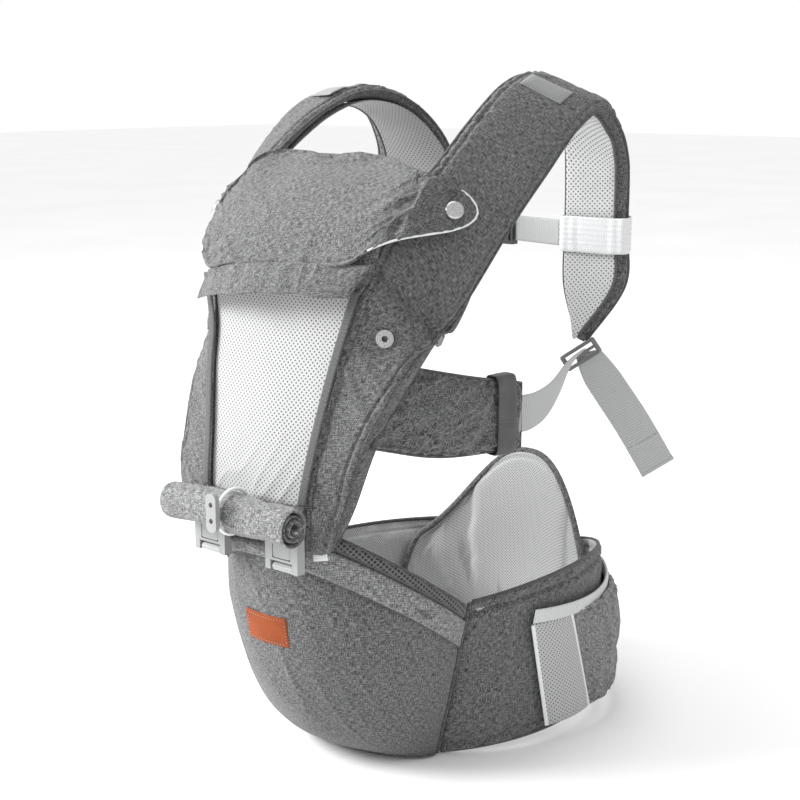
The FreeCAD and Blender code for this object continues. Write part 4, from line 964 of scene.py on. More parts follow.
def wing_rows(side, foot_shares, top_shares, count, low, high, depth):
    """Rows up the wing's outer face, moved outwards by a depth. low and high are heights, or say them."""
    feet, tops = np.linspace(*foot_shares, count), np.linspace(*top_shares, count)
    low = low(feet) if callable(low) else low
    high = high(tops) if callable(high) else high
    inward = wing_inward((feet + tops) / 2, side)
    shift = -inward * np.broadcast_to(depth, (count,))[:, None]
    return wing_point(feet, low, side) + shift, wing_point(tops, high, side) + shift, -inward


def make_wing(name, side):
    """A padded belt wing: canvas outside, mesh inside, sewn channels and piped rims."""
    body = "belt_" + name
    starts, ends, outward = wing_rows(side, (0, 1), (0, 1), 64, wing_foot, lambda share: wing_top(share, side),
                                      -WING_THICKNESS / 2)
    slab = slab_from_rows(starts, ends, outward, WING_THICKNESS - 1.0, 26, 5, 24)
    swell(slab, 2.5, 0.02, 2.2)
    slab.refine(3, 4)
    upward = slab.front[..., 2]
    relief = groove(slab.from_end, 13, 3.6, 2.4) + groove(slab.from_start, 12, 2.4, 2.0)
    folds = slab.folds(60, 20, 62, 11 + side)
    small = slab.folds(26, 9, 40, 15 + side)
    near_seam = np.exp(-slab.along / 55)
    near_top = np.exp(-slab.from_end / 22)
    relief += (2.2 * folds - 0.6) * (0.35 + 0.9 * near_seam)
    relief += 1.6 * (small - 0.2) * (0.3 + near_top)
    relief += 1.6 * (soft_noise(slab.along / 40, upward / 40, 21 + side) - 0.5)
    slab.carve(relief, groove(slab.from_end, 11, 1.2, 1.8) + groove(slab.from_start, 12, 1.2, 1.8))
    add_slab("belt_wing_pad_" + name, slab, MELANGE, body, ("belt_wing_" + name,),
             back_material=MESH_FINE)
    sew("belt_wing_stitches_" + name, slab, body, 8, (9, True), (12, False))
    add_tube("belt_wing_top_piping_" + name, slab.front[2:-2, -1], 2.0, MELANGE_PAINTED_SHADE, body)
    add_tube("belt_wing_foot_piping_" + name, slab.front[2:-2, 0] + arr(0, 0, 0.9), 1.7, MELANGE_PAINTED_SHADE,
             body)


def make_pocket(name, side):
    """The pocket on a wing: perforated mesh front, canvas pouch behind it, elastic mouth."""
    body = "belt_" + name
    count = 40
    shares = np.linspace(0, 1, count)
    swelling = np.sin(np.pi * shares)
    parts = (
        ("mesh", (0.28, 0.455), (0.175, 0.305), 4.0 + 2.6 * swelling, 0.6, MESH_WHITE, (), 0.3),
        ("pouch", (0.458, 0.785), (0.308, 0.74), 3.0 + 14.5 * swelling ** 0.8, 2.4, MELANGE_LIGHT,
         ("pocket_" + name,), 0.4),
    )
    for label, low_shares, high_shares, depth, strength, material, nodes, fill in parts:
        starts, ends, outward = wing_rows(side, low_shares, high_shares, count, 19, 129, depth / 2 + 0.6)
        slab = slab_from_rows(starts, ends, outward, depth, 30, 3.2, 7)
        if label == "pouch":
            swell(slab, 2.5, 0.04, 3)
        slab.refine(3, 3)
        folds = slab.folds(70, 15, 80, 31 + side)
        waves = slab.folds(22, 60, 85, 35 + side, 2)
        relief = strength * (folds - 0.3) + strength * 0.9 * waves * np.exp(-slab.from_end / 26)
        relief += groove(slab.from_start, 7, 0.9, 1.4)
        if label == "pouch":
            relief += groove(slab.from_end, 4, 2.4, 2.5)
        slab.carve(relief)
        add_slab("pocket_%s_%s" % (label, name), slab, material, body, nodes)
        if label == "mesh":
            for edge, row in (("front", 0), ("rear", -1)):
                add_tube("pocket_%s_binding_%s" % (edge, name), slab.front[row, 2:-2], 2.2, PIPING, body,
                         squeeze=0.7)
        else:
            sew("pocket_stitches_" + name, slab, body, 8, (7, False))
    band = np.linspace(0, 1, 60)
    rise = -3.0 * band ** 2 - 5.0 * np.sin(np.pi * band)
    starts, ends, outward = wing_rows(side, (0.175, 0.735), (0.175, 0.735), 60, 129.5, 143.5, 3.0)
    starts = starts + arr(0, 0, 1) * rise[:, None] * 0.8
    ends = ends + arr(0, 0, 1) * rise[:, None]
    slab = slab_from_rows(starts, ends, outward, 3.2, 10, 6, 30)
    slab.refine(4, 3)
    slab.carve(0.55 * np.sin(slab.along / 1.5) * soft_noise(slab.along / 14, slab.from_start / 9, 4))
    add_slab("pocket_elastic_" + name, slab, ELASTIC_GREY, body, ("pocket_band_" + name,))


def make_belt_webbing(name, side):
    """The waist webbing from the wing's end to its half of the buckle."""
    shares = np.linspace(0.81, 0.90, 5)
    inward = wing_inward(shares, side)
    outset = -inward * (1.5 + 5 * np.linspace(0, 1, 5) ** 2)[:, None]
    reach = 45.4 if side > 0 else 20.2
    starts, ends = (
        through(np.vstack([wing_point(shares, height, side) + outset, [side * reach, 159, height]]), 50)
        for height in (72.0, 110.0)
    )
    normals = unit(np.cross(ends - starts, np.gradient(starts, axis=0)))
    slab = slab_from_rows(starts, ends, normals, 2.0, 16, 16, 40)
    slab.refine(2, 2)
    add_slab("belt_strap_" + name, slab, WEBBING, "belt_" + name, ("belt_webbing_" + name,))


def make_lumbar():
    """The padded back support with its canvas binding."""
    count = 64
    reach = 62.0
    angle = np.linspace(90 - reach, 90 + reach, count)
    turn = np.radians(angle)
    outward = xyz(np.cos(turn), np.sin(turn), 0 * turn)
    radius = RING - WING_THICKNESS - 1.2 - 5.5
    away = reach - np.abs(angle - 90)
    drop = 30 * np.clip(1 - away / 9, 0, 1) ** 2
    top = 122 + 112 * np.exp(-(np.abs((angle - 90) / reach * 1.62) ** 2.3)) - drop
    starts = outward * radius + arr(0, 0, 1) * (24 + drop * 0.6)[:, None]
    ends = outward * radius + arr(0, 0, 1) * (top - 2)[:, None]
    slab = slab_from_rows(starts, ends, -outward, 9.5, 34, 3.4, 10)
    swell(slab, 3.0, 0.02, 3)
    slab.refine(3, 3)
    relief = groove(np.minimum(slab.rim_distance, slab.end_distance), 9, 1.3, 2.2)
    relief += 1.6 * slab.dimples(45, 41)
    slab.carve(relief, relief)
    add_slab("lumbar_cushion", slab, MESH_FINE, "belt_right", ("lumbar_pad",))
    add_tube("lumbar_binding", rim_path(slab), 3.4, MELANGE, "belt_right", closed=True)


# ---------------------------------------------------------------- carrier panel and straps
def strap_line(side, count, offset=0.0, insets=(0.0, 0.0), first=0):
    """Rows across a shoulder strap, moved outwards from its middle layer by an offset."""
    inner = through(STRAP_INNER[side], count)
    outer = through(STRAP_OUTER[side], count)
    ahead = np.gradient((inner + outer) / 2, axis=0)
    across = unit(outer - inner)
    normal = unit(np.cross(across, ahead))
    starts = inner + normal * offset + across * insets[0]
    ends = outer + normal * offset - across * insets[1]
    starts, ends = round_tip(starts, ends)
    rows = slice(first, None)
    return flipped(starts[rows], side), flipped(ends[rows], side), flipped(normal[rows], side)


def round_tip(starts, ends, rows=11):
    """Draw the last rows together, so that the strip ends in a rounded tip."""
    left = np.clip((len(starts) - 1 - np.arange(len(starts))) / rows, 0, 1)[:, None]
    width = 0.38 + 0.62 * np.sqrt(1 - (1 - left) ** 2)
    middle = (starts + ends) / 2
    return middle + (starts - middle) * width, middle + (ends - middle) * width


def make_carrier_side(name, side):
    """One panel side that runs on into its padded shoulder strap, down to the strap's tip."""
    body_thickness = STRAP_THICKNESS - LINING_THICKNESS - 0.2
    panel_inner = through(list(PANEL_INNER) + [STRAP_INNER[side][0]], 26)[:-1]
    panel_outer = through(list(PANEL_EDGE[side]) + [STRAP_OUTER[side][0]], 26)[:-1]
    facing = flipped(unit(arr(0.45, -0.88, 0.15)), side)
    starts, ends, normals = strap_line(side, 110, (STRAP_THICKNESS - body_thickness) / 2)
    starts = np.vstack([flipped(panel_inner, side), starts])
    ends = np.vstack([flipped(panel_outer, side), ends])
    normals = np.vstack([np.repeat(facing[None], 25, axis=0), normals])
    for smoothing in range(30):
        for line in (ends, normals) if smoothing > 5 else (starts, ends, normals):
            line[14:44] = (line[13:43] + 2 * line[14:44] + line[15:45]) / 4
    thickness = np.concatenate([np.full(18, 8.0), np.linspace(8.0, body_thickness - 1, 20),
                                np.full(97, body_thickness - 1)])
    tip = np.clip((len(starts) - 1 - np.arange(len(starts))) / 12, 0, 1)
    thickness = thickness * (0.45 + 0.55 * tip)
    slab = slab_from_rows(starts, ends, normals, thickness, 18, 4.0, 60)
    swell(slab, 3.0, 0.03, 0.8)
    slab.refine(3, 5)
    run = slab.along
    low, high = (np.array(corner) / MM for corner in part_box("ring_snaps"))
    snap = arr(side * (high[0] - 7), (low[1] + high[1]) / 2 - SHIFT_ALONG, (low[2] + high[2]) / 2)
    clear_of_snap = 1 - np.exp(-((np.linalg.norm(slab.front - snap, axis=-1) / 13) ** 4))
    panel = np.clip(1 - run / 260, 0, 1)
    # the seam where the strap is set into the panel runs down from the window to the outer edge
    over = slab.from_start / (slab.from_start + slab.from_end)
    from_seam = (slab.front[..., 2] - mix(472, 412, over)) * 0.8
    near_seam = np.exp(-(np.abs(from_seam) / 20)) * (run < 320)
    folds = creases(run, slab.from_start, 75, 17, -38 * side, 51 + side)
    cross = creases(run, slab.from_start, 16, 70, 8, 54 + side, 2)
    pucker = creases(slab.from_start + 0.6 * run, from_seam, 9, 60, 4, 58 + side, 2)
    shoulder = np.exp(-(((run - 560) / 70) ** 2)) + np.exp(-(((run - 240) / 40) ** 2))
    relief = 3.4 * (folds - 0.25) * panel ** 0.7
    relief += 2.2 * (cross - 0.3) * np.clip(shoulder, 0, 1)
    relief += 1.6 * (soft_noise(run / 42, slab.from_start / 30, 57 + side) - 0.5)
    relief += groove(slab.rim_distance, 8, 1.7, 1.6)
    relief += 4.5 * (pucker - 0.3) * near_seam
    relief -= 4.0 * np.exp(-((from_seam / 3.0) ** 2)) * (run < 320)
    relief = relief * clear_of_snap - 1.0 * (1 - clear_of_snap)
    slab.carve(relief, 0.6 * (cross - 0.3))
    nodes = ("panel_side_" + name, "shoulder_strap_" + name)
    add_slab("carrier_side_" + name, slab, MELANGE, "carrier", nodes)
    sew("carrier_side_stitches_" + name, slab, "carrier", 10, (8, False), (8, True))
    for edge, column in (("inner", 0), ("outer", -1)):
        add_tube("carrier_side_%s_piping_%s" % (edge, name), slab.front[2:-1, column], 1.6,
                 MELANGE_PAINTED_SHADE, "carrier")


def make_panel_facing(name, side):
    """The inner layer that shows behind the panel's outer edge, and the cream tag at its foot."""
    line = through(list(PANEL_EDGE[side]) + list(STRAP_OUTER[side][:2]), 60)[3:]
    share = np.linspace(0, 1, len(line))
    reach = 5 + 17 * np.sin(np.pi * np.clip(share * 1.05, 0, 1)) ** 0.7
    starts = line + arr(-5, 3, 0)
    ends = line + xyz(-1 - 3 * share, reach, 2 * share)
    normals = arr(1, -0.3, 0)
    slab = slab_from_rows(flipped(starts, side), flipped(ends, side), flipped(normals, side), 6.0, 12, 3, 12)
    slab.refine(3, 3)
    folds = slab.folds(30, 12, 55, 171 + side)
    slab.carve(1.8 * (folds - 0.3))
    add_slab("panel_facing_" + name, slab, MELANGE, "carrier")
    add_tube("panel_facing_piping_" + name, slab.front[3:-3, -1], 1.5, MELANGE_PAINTED_SHADE, "carrier")
    foot = arr(*PANEL_EDGE[side][0]) + arr(-9, -1, 2)
    turns = np.linspace(0, np.pi, 12)
    loop = foot + xyz(0, 2.0 * np.cos(turns), -9 * np.sin(turns))
    slab = slab_from_rows(flipped(loop + arr(-8, 0, -1), side), flipped(loop + arr(8, 1, 3), side),
                          arr(0, -1, 0), 1.0, 10, 8, 20)
    slab.refine(2, 2)
    add_slab("corner_tag_" + name, slab, LINING, "carrier")


def make_strap_lining(name, side):
    """The soft air-mesh lining on the wearer's side of a strap, with its binding."""
    shift = LINING_THICKNESS / 2 - STRAP_THICKNESS / 2
    starts, ends, normals = strap_line(side, 110, shift, insets=(2.0, 10.0), first=3)
    slab = slab_from_rows(starts, ends, -normals, LINING_THICKNESS - 0.4, 14, 3.0, 40)
    slab.refine(3, 3)
    ripple = slab.folds(20, 60, 6, 61 + side, 2)
    slab.carve(0.9 * (ripple - 0.4) + 0.8 * slab.dimples(30, 63))
    material = MESH_LIGHT if side > 0 else MESH_SHADE
    piece = add_slab("strap_mesh_" + name, slab, material, "carrier", ("strap_lining_" + name,))
    declare_sheet(piece, slab, "stretched", "carrier_side_" + name)
    add_tube("strap_mesh_binding_" + name, slab.back[4:-3, -1], 1.3, BINDING, "carrier")


def window_rows(low, high, count, inset, push, bow, columns=31):
    """Rows across the window, bowed to the front."""
    inner = through(PANEL_INNER + (WINDOW_TOP,), 81)
    heights = np.linspace(low, high, count)
    corner = np.stack([np.interp(heights, inner[:, 2], inner[:, axis]) for axis in (0, 1)], axis=-1)
    across = np.linspace(-1, 1, columns)
    grid = np.zeros((count, columns, 3))
    grid[..., 0] = across[None] * (corner[:, :1] - inset)
    grid[..., 1] = corner[:, 1:] + push - bow * (1 - across[None] ** 2)
    grid[..., 2] = heights[:, None]
    return grid


def declare_sheet(piece, slab, held, *rests_on):
    """Measure a sheet's middle lengths both ways; the result is not kept."""
    lengths = (distances(slab.front, axis).take(-1, axis) for axis in (1, 0))
    flat = tuple(round(float(np.median(length) * MM), 3) for length in lengths)


def make_window():
    """The white air-mesh window, its dark bindings and the lining behind it."""
    grid = window_rows(268, 451, 44, 1.0, 0, 6.0)
    half = 1.1 * pillow(44, 30, 31, 30)
    slab = Slab(grid, arr(0, -1, 0), half, half)
    slab.refine(3, 3)
    relief = 1.6 * slab.dimples(38, 71)
    relief += 1.8 * slab.folds(70, 16, 35, 72) * np.exp(-slab.along / 35)
    slab.carve(relief, -relief)
    piece = add_slab("mesh_window", slab, MESH_WHITE, "carrier", ("window_mesh",))
    declare_sheet(piece, slab, "stretched", "carrier_side_right", "carrier_side_left")
    grid = window_rows(266, 440, 26, -13, 12, 4.0)
    half = 1.8 * pillow(26, 14, 31, 14)
    slab = Slab(grid, arr(0, 1, 0), half, half)
    slab.refine(2, 2)
    slab.carve(1.5 * slab.dimples(30, 75))
    piece = add_slab("lining_sheet", slab, LINING, "carrier", ("panel_lining",))
    declare_sheet(piece, slab, "hung", "yoke")
    lines = []
    for name, side in SIDES:
        edge = flipped(through(PANEL_INNER + (WINDOW_TOP,), 100)[22:], side) + arr(0, -6.6, 0)
        outer = edge + arr(4.6 * side, 0.8, 0)
        inner = edge - arr(3.6 * side, 0.4, 0)
        band = slab_from_rows(inner, outer, arr(0, -1, 0), 2.2, 12, 4, 40)
        band.refine(1, 2)
        band.carve()
        add_slab("window_binding_" + name, band, BINDING, "carrier", once(side, "window_bindings"))
        lines.append(column_line(band, 1.8, trim=4))
        lines.append(column_line(band, 1.8, True, trim=4))
    add_stitches("window_binding_stitches", lines, THREAD, "carrier", 2.4, 1.6, 0.6, 0.1)


def make_yoke():
    """The yoke above the window, behind the visor."""
    rows = []
    shares = np.linspace(-1, 1, 25)
    for height, half_width, front in ((447, 88, -243), (462, 98, -240), (480, 105, -238), (494, 108, -236)):
        across = shares * np.where(shares < 0, 0.86, 1) * half_width
        rows.append(xyz(across, front - 5 * (1 - shares ** 2), height))
    grid = finer(np.array(rows), 0, 6)
    half = 3.3 * pillow(len(grid), 8, 25, 30)
    slab = Slab(grid, arr(0, -1, 0), half, half)
    slab.refine(3, 3)
    slab.carve(1.2 * slab.dimples(22, 81))
    add_slab("yoke", slab, MELANGE, "carrier", ("panel_yoke",))


def make_hem():
    """The gathered hem behind the roll, with bunched folds between the two connectors."""
    for name, half_width, foot_height, rise, nodes in (("gathered_hem", 60, 240.0, 30, ("panel_hem",)),
                                                       ("bunched_folds", 26.5, 224.0, 26, ())):
        across = np.linspace(-half_width, half_width, 97)
        bend = 2 * (1 - (across / 60) ** 2)
        foot = xyz(across, -281 - bend, foot_height)
        top = foot + arr(0, 1.0, rise)
        normals = arr(0, -1, 0)
        slab = slab_from_rows(foot, top, normals, 4.0 if nodes else 7.0, 16, 4, 30)
        slab.refine(3, 4)
        place_x = slab.front[..., 0]
        wander = 4 * soft_noise(place_x / 14, slab.from_start / 8, 91)
        pleats = np.abs(np.sin(place_x * np.pi / 8.5 + wander)) ** 1.5
        drift = 2.4 * soft_noise(place_x / 22, slab.from_start / 12, 93)
        bunches = np.abs(np.sin(slab.from_start * np.pi / 6.5 + drift)) ** 0.7
        slab.carve(0.8 * pleats + 3.4 * bunches - 2.0, 1.2 * pleats - 0.6)
        # both take the darker canvas copy: painted shade beneath the roll
        piece = add_slab(name, slab, MELANGE_PAINTED_SHADE, "carrier", nodes)
        declare_sheet(piece, slab, "gathered", "carrier_side_right", "carrier_side_left")


def make_roll():
    """The extension flap, rolled up in a spiral and pinched by its elastic loop."""
    turns = np.linspace(0, 3.35 * 2 * np.pi, 150)
    wound = turns / turns[-1]
    radius = 2.6 + (16.4 - 2.6) * wound
    across = np.linspace(-76, 76, 64)
    angle = turns[:, None] + math.radians(205) + 0.10 * np.sin(across[None] / 31)
    right_end = np.clip((across - 48) / 28, 0, 1) ** 1.5
    pinch = 1 - 0.07 * np.exp(-(((across - 3) / 9) ** 2)) + 0.05 * right_end
    wobble = 1 + 0.10 * (soft_noise(across[None] / 16 + 0 * angle, angle * 0.9, 101) - 0.5)
    spread = radius[:, None] * pinch[None] * wobble
    grid = np.zeros((150, 64, 3))
    grid[..., 0] = across[None] + 1.6 * np.sin(angle * 0.37) + (6 * (0.5 - wound))[:, None] * right_end[None]
    grid[..., 1] = -309 + spread * np.cos(angle)
    sag = 1.2 * np.sin(across / 50) ** 2
    grid[..., 2] = 263 + spread * np.sin(angle) - sag[None]
    normal = xyz(0, np.cos(angle), np.sin(angle))
    half = 1.75 * pillow(150, 60, 64, 20)
    slab = Slab(grid, normal, half, half)
    slab.refine(2, 3)
    x = slab.front[..., 0]
    angular = np.linspace(0, turns[-1], slab.front.shape[0])[:, None] + 0 * x
    folds = creases(x, angular * 9, 46, 7, 9, 103)
    gather = creases(x, angular * 9, 9, 34, 4, 105, 2) * np.exp(-(((x - 3) / 16) ** 2))
    slab.carve(2.4 * (folds - 0.4) + 1.8 * (gather - 0.2))
    # the flap takes the lighter canvas copy: painted light on the roll
    piece = add_slab("rolled_flap", slab, MELANGE_LIGHT, "carrier", ("flap_roll",))
    declare_sheet(piece, slab, "folded", "gathered_hem")


# ---------------------------------------------------------------- head support
def make_hood():
    """The padded head support: swollen by simulation, then creased towards its two snaps."""
    left = [(-row[0],) + row[1:] for row in reversed(HOOD_ROWS[-1])]
    count, columns = 76, 26
    sections = through(left + [HOOD_MIDDLE] + list(HOOD_ROWS[1]), count)
    shares = spaced(columns)
    low, high = sections[:, [0, 1, 2]], sections[:, [0, 3, 4]]
    # the left side hangs lower, and its corner is drawn back round the strap
    low[:, 2] -= np.interp(-low[:, 0], (20, 50, 80, 97, 121), (0, 4, 15, 13, 0))
    low[:, 1] += np.interp(-low[:, 0], (60, 90, 109, 133), (0, 7, 9, 0))
    outward = unit(np.cross(arr(1, 0, 0), high - low))
    run = distances((low + high) / 2)
    from_ear = np.clip(np.minimum(run, run[-1] - run) / 20, 0, 1)
    rounding = 0.25 + 0.75 * np.sqrt(1 - (1 - from_ear) ** 2)
    middle = (low + high) / 2
    low, high = (middle + (edge - middle) * rounding[:, None] for edge in (low, high))
    centre = low[:, None] + (high - low)[:, None] * shares[None, :, None]
    bulge = sections[:, 5][:, None] * np.sin(np.pi * shares)[None] ** 1.3
    centre = centre + outward[:, None] * bulge[..., None]
    normal = np.repeat(outward[:, None], columns, axis=1)
    sewn_down = 0.30 + 0.70 * np.clip(shares / 0.3, 0, 1) ** 0.7
    shape = (profile(shares, 3.0) * sewn_down)[None] * profile(np.linspace(0, 1, count), 14)[:, None]
    half = sections[:, 6][:, None] / 2 * shape
    slab = Slab(centre, normal, half, half)
    swell(slab, 3.0, 0.04, 3.5)
    slab.refine(4, 5)
    x = slab.front[..., 0]
    ear = np.clip((np.abs(x) - 55) / 60, 0, 1)
    pull = slab.folds(85, 13, 14, 111)
    drape = slab.folds(60, 22, -32, 113)
    gather = slab.folds(9, 50, 6, 117, 2) * np.exp(-slab.from_start / 14)
    relief = 2.4 * (pull - 0.3) * ear + 1.5 * (drape - 0.3) * (1 - 0.6 * ear) + 1.2 * (gather - 0.2)
    relief += 1.8 * slab.dimples(34, 115, 30)
    relief += groove(slab.from_end, 7, 1.2, 1.5) + groove(slab.from_start, 6, 1.0, 1.4)
    slab.carve(relief, 0.6 * drape)
    add_slab("head_support", slab, MELANGE, "hood", ("hood",))
    sew("head_support_stitches", slab, "hood", 8, (7, True), (6, False))
    rows = len(slab.front)
    for name, reach, tip, edge in (("left", slice(1, rows // 4), slice(1, rows // 14), 0),
                                   ("right", slice(-rows // 4, -1), slice(-rows // 14, -1), -1)):
        step = 1 if edge else -1
        path = np.vstack([slab.front[reach, 0][::step], slab.front[edge][1:-1], slab.front[tip, -1][::-step]])
        add_tube("ear_piping_" + name, path, 0.95, PIPING, "hood")


def make_visor():
    """The flared flap under the head support, wavy along its free edge and gathered into the seam."""
    top = through(((-85, -249, 457), (-50, -259, 466), (0, -264, 471), (55, -260, 474), (107, -248, 475)), 91)
    foot = through(((-88, -262, 431), (-50, -274, 440), (0, -280, 446), (50, -275, 449), (93, -262, 448)), 91)
    wave = 2.0 * np.sin(foot[:, 0] / 15.0) + 1.2 * np.sin(foot[:, 0] / 7.0 + 1)
    foot = foot + xyz(0, 0.5 * wave, 0.3 * wave)
    slab = slab_from_rows(foot, top, unit(arr(0, -1, 0.3)), 3.6, 16, 5, 40)
    slab.refine(3, 3)
    relief = groove(slab.from_start, 4.5, 0.8, 1.2)
    gather = slab.folds(12, 60, 12, 121, 2) - 0.4
    slab.carve(relief + 1.2 * gather + 1.8 * gather * np.exp(-slab.from_end / 12))
    piece = add_slab("visor_flap", slab, MELANGE, "carrier", ("hood_visor",))
    declare_sheet(piece, slab, "hung", "yoke")
    sew("visor_stitches", slab, "carrier", 6, (4.5, False))


# ---------------------------------------------------------------- side wings, webbing and bands
def make_side_wing(name, side):
    """The padded wing behind the panel's side, ending under its coated keeper."""
    tuck = 0 if side > 0 else 13
    upper = through(((116 - tuck, -216, 388), (140, -160, 374), (150, -98, 361)), 30)
    lower = through(((104 - tuck, -246, 322), (134, -190, 309), (150, -98, 303)), 30)
    outward = flipped(unit(arr(0.9, -0.4, 0)), side)
    slab = slab_from_rows(flipped(lower, side), flipped(upper, side), outward, 9.5, 16, 3.6, 14)
    swell(slab, 3.0, 0.05, 3)
    slab.refine(4, 4)
    folds = slab.folds(40, 13, 38, 131 + side)
    drawn = slab.folds(60, 9, 8, 135 + side) * np.clip(slab.along / 60 - 0.4, 0, 1)
    relief = 2.8 * (folds - 0.3) + 1.8 * slab.dimples(24, 133, 20)
    relief += groove(slab.rim_distance, 6, 1.2, 1.4) + 2.2 * (drawn - 0.2)
    slab.carve(relief, 1.2 * folds)
    add_slab("side_wing_pad_" + name, slab, MELANGE, "carrier", ("side_wing_" + name,))
    sew("side_wing_stitches_" + name, slab, "carrier", 6, (6, False), (6, True))
    add_tube("side_wing_piping_" + name, rim_path(slab), 1.4, MELANGE_PAINTED_SHADE, "carrier", closed=True)


def make_wing_keeper(name, side):
    """The coated loop pulled tight round the wing's end, creased across its middle."""
    turn = math.radians(-9 * side)
    axes = (arr(math.cos(turn), math.sin(turn), 0), arr(0, 0, 1), arr(-math.sin(turn), math.cos(turn), 0))
    piece = add_ring("keeper_loop_" + name, arr(147.2 * side, -124, 337), axes, (9.0, 35.2), 90, 11, 15, 0.75,
                     (0.5, 1.2), lambda run, width: 0.9 * soft_noise(run / 9, width / 7 + 5, 141), KEEPER,
                     "carrier")
    if side > 0:
        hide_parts("wing_keepers")


def ribbon(centres, widths, side, half_width, thickness=2.0):
    """A flat tape along a line, with its width in the given directions."""
    across = unit(widths)
    ahead = np.gradient(centres, axis=0)
    normal = unit(np.cross(across, ahead))
    reach = across * np.broadcast_to(half_width, (len(centres),))[:, None]
    slab = slab_from_rows(flipped(centres - reach, side), flipped(centres + reach, side),
                          flipped(normal, side), thickness, 14, 14, 60)
    slab.refine(2, 2)
    return slab


def make_webbing(name, side):
    """The adjusting webbing from the wing to the lock, and its tail with a folded, sewn end."""
    lock = arr(*LOCK_CENTRE[side])
    reach = lock + arr(3, -8, 2)
    start = arr(151, -55, 340)
    shares = np.linspace(0, 1, 70)
    tapes = (
        ("adjusting_strap_", "strap_webbing_", 0.6, 18, mix(17.0, 13.0, shares ** 3),
         (arr(150, -100, 333), arr(153, -82, 334), start, mix(start, reach, 0.5), reach),
         ((0.02, 0.1, 1), (0.04, 0.1, 1), (0.1, 0.05, 0.97), (0.25, 0, 0.9), (0.6, -0.05, 0.45))),
        ("strap_tail_tape_", "strap_tail_", 0.8, 26, mix(12.0, 18.0, np.clip(3 * shares, 0, 1) ** 0.7),
         (lock + arr(4, 8, 3), (126, 74, 336), (147, 95, 292), (168, 112, 247)),
         ((0.75, 0.3, 0.2), (0.7, 0.5, 0.3), (0.62, 0.6, 0.45), (0.6, 0.62, 0.5))),
    )
    for label, node, depth, pitch, half_width, line, directions in tapes:
        centres, widths = through(line, 70), through(directions, 70)
        slab = ribbon(centres, widths, side, half_width)
        ripple = depth * np.sin(slab.along / pitch)
        slab.carve(ripple, -ripple)
        add_slab(label + name, slab, WEBBING, "carrier", (node + name,))
    over = unit(np.cross(widths[-1], centres[-1] - centres[-2])) * 2.1
    for label, turned in (("fold", 1), ("under", -1)):
        shift = turned * over * np.linspace(1, 0.85, 14)[:, None]
        layer = ribbon(centres[-14:] + shift, widths[-14:], side, 17.8)
        layer.carve()
        add_slab("strap_tail_%s_%s" % (label, name), layer, WEBBING, "carrier")
        if turned > 0:
            lines = [row_line(layer, distance, far, trim=2) for distance, far in
                     ((3.5, False), (7.0, False), (3.5, True))]
            add_stitches("strap_tail_stitches_" + name, lines, THREAD, "carrier", 2.2, 1.2, 0.8, 0.15)
    bar = centres[-1][None] + unit(widths[-1])[None] * np.linspace(-18, 18, 12)[:, None]
    add_tube("strap_tail_end_" + name, flipped(bar, side), 2.9, WEBBING, "carrier")


def make_strap_keepers():
    """The small webbing keeper sewn across the top of each strap."""
    for name, side in SIDES:
        starts, ends, normals = strap_line(side, 111, STRAP_THICKNESS / 2 + 0.9)
        first = mix(starts[41:47], ends[41:47], 0.14)
        last = mix(starts[41:47], ends[41:47], 0.66)
        slab = slab_from_rows(first, last, normals[41:47], 1.8, 14, 12, 20)
        slab.refine(4, 3)
        slab.carve(0.8 * np.sin(np.pi * slab.along / slab.along.max()) + 0 * slab.along)
        add_slab("strap_keeper_" + name, slab, BINDING_GREY, "carrier", once(side, "strap_keepers"))
        lines = [row_line(slab, 2.0, trim=4), row_line(slab, 2.0, True, trim=4)]
        add_stitches("strap_keeper_stitches_" + name, lines, THREAD, "carrier", 2.2, 1.2)


def make_chest_band(name, side):
    """The gathered satin elastic that slides on the strap and carries the chest strap."""
    start, end = (flipped(line[side][9], side) for line in (STRAP_INNER, STRAP_OUTER))
    across = unit((end - start) * arr(1, 1, 0))
    facing = unit(np.cross(arr(0, 0, 1), across))
    centre = (start + end) / 2 * arr(1, 1, 0) + arr(0, 0, 478)
    wide = np.linalg.norm((end - start)[:2]) / 2 + 3.4

    def gathers(run, level):
        ribs = np.sin(run / 1.5) + np.sin(level * math.pi / 2.4)
        return 0.35 * ribs + 0.9 * soft_noise(run / 6, level / 16 + 3, 151)

    piece = add_ring("chest_elastic_" + name, centre, (across, facing, arr(0, 0, 1)),
                     (wide, STRAP_THICKNESS / 2 + 3.4), 160, 17, 25, 0.7, (0.6, 1.0), gathers, ELASTIC,
                     "chest_strap", lambda run: 0.6 * np.sin(run / 13), along_first=False)
    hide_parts("chest_band_" + name)


def make_chest_tape(name, line):
    """One half of the chest strap's webbing."""
    line = np.array(line, float)
    points = through(np.column_stack([line, np.full(len(line), 478.0)]), 40)
    up = arr(0, 0, 1)
    slab = ribbon(points, up, 1, 12.5, 1.8)
    add_slab("chest_tape_" + name, slab, WEBBING, "chest_strap", ("chest_webbing_" + name,))


# ---------------------------------------------------------------- hard parts keep their CAD shape
def dress_hard_parts():
    """Give every CAD node that stays visible its finish."""
    finishes = {
        "connector_female": PLASTIC_LIGHT, "connector_button": PLASTIC_LIGHT, "connector_males": PLASTIC_LIGHT,
        "toggle": PLASTIC_LIGHT, "waist_buckle": PLASTIC_DARK, "chest_buckle": PLASTIC_DARK,
        "ladder_locks": PLASTIC_GREY, "ring_snaps": NICKEL, "snap_sockets": NICKEL, "hood_snaps": NICKEL,
        "roll_elastic": ELASTIC_SOLID, "seat_core": FOAM,
    }
    for node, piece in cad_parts.items():
        for start, material in finishes.items():
            if node.startswith(start):
                for slot in piece.material_slots:
                    slot.material = material


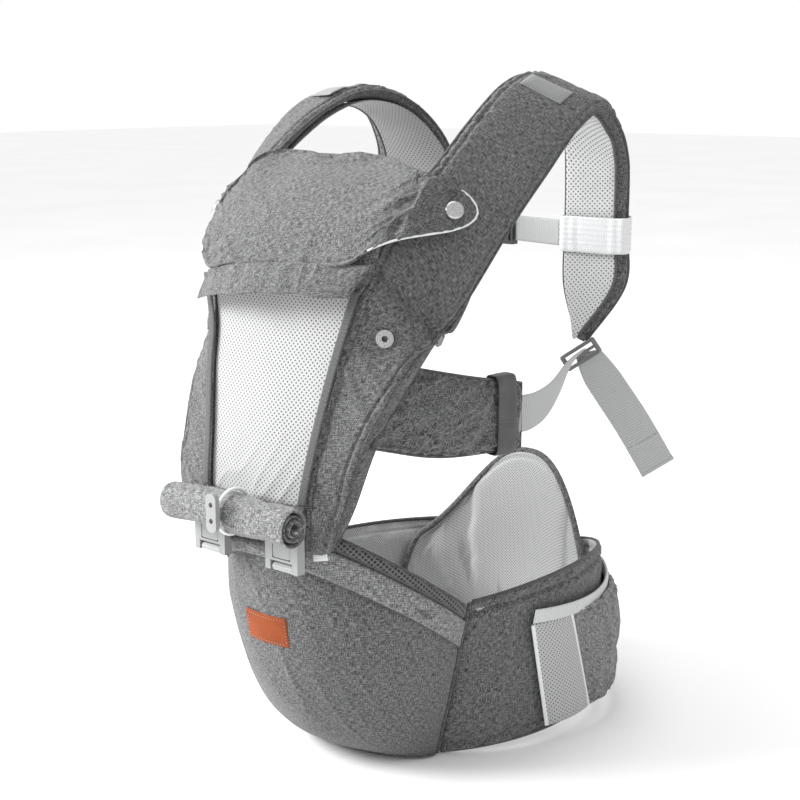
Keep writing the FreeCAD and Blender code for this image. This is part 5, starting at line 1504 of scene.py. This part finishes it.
def make_stage():
    """A plain pale floor and soft studio light."""
    bpy.ops.mesh.primitive_plane_add(size=30, location=(0, 0, 0))
    floor = bpy.context.object
    floor.name = "floor"
    nodes = Nodes("pale_floor")
    cloud = nodes.noise(nodes.cloth_axes("Object")[0], 2.0)
    colour = nodes.ramp(cloud, (0.3, grey(0.90)), (0.7, grey(0.93)))
    floor.data.materials.append(nodes.finish(colour, 0.7))
    world = bpy.data.worlds.new("studio")
    world.use_nodes = True
    world.node_tree.nodes["Background"].inputs["Color"].default_value = (1, 1, 1, 1)
    world.node_tree.nodes["Background"].inputs["Strength"].default_value = 1.0
    bpy.context.scene.world = world
    bpy.context.scene.view_settings.view_transform = "Standard"
    lights = (("key", (-1.6, -1.7, 1.6), 1.1, 112), ("top", (-0.3, -0.2, 2.4), 1.2, 14))
    for name, spot, size, power in lights:
        lamp = bpy.data.lights.new(name, "AREA")
        lamp.shape = "SQUARE"
        lamp.size = size
        lamp.energy = power
        holder = bpy.data.objects.new(name, lamp)
        holder.location = spot
        aim = Vector((0, 0, 0.3)) - Vector(spot)
        holder.rotation_euler = aim.to_track_quat("-Z", "Y").to_euler()
        bpy.context.scene.collection.objects.link(holder)


def make_camera():
    """The photograph's viewing angle: from the front right, a little above."""
    azimuth, elevation, distance = math.radians(40), math.radians(12), 1.5
    aim = place(arr(-42, -35, 309))
    back = arr(math.sin(azimuth) * math.cos(elevation), -math.cos(azimuth) * math.cos(elevation),
               math.sin(elevation))
    camera = bpy.data.cameras.new("camera")
    camera.lens = 67.5
    camera.sensor_width = 36
    holder = bpy.data.objects.new("camera", camera)
    holder.location = aim + back * distance
    holder.rotation_euler = Vector(-back).to_track_quat("-Z", "Y").to_euler()
    bpy.context.scene.collection.objects.link(holder)
    bpy.context.scene.camera = holder


for make in (make_camera, make_stage, dress_hard_parts, make_seat_shell, make_seat_floor, make_seat_rim,
             make_seat_hem_band, make_seat_top, make_belly_cushion, make_label, make_seat_tabs):
    make()
for side_name, side_sign in SIDES:
    for make in (make_wing, make_pocket, make_belt_webbing, make_carrier_side, make_panel_facing,
                 make_strap_lining, make_side_wing, make_wing_keeper, make_webbing, make_chest_band):
        make(side_name, side_sign)
for make in (make_lumbar, make_window, make_yoke, make_hem, make_roll, make_hood, make_visor,
             make_strap_keepers):
    make()
make_chest_tape("right", ((25.4, 64), (87.2, 51)))
make_chest_tape("left", ((-6, 69.9), (-42, 69.9), (-69.2, 91)))
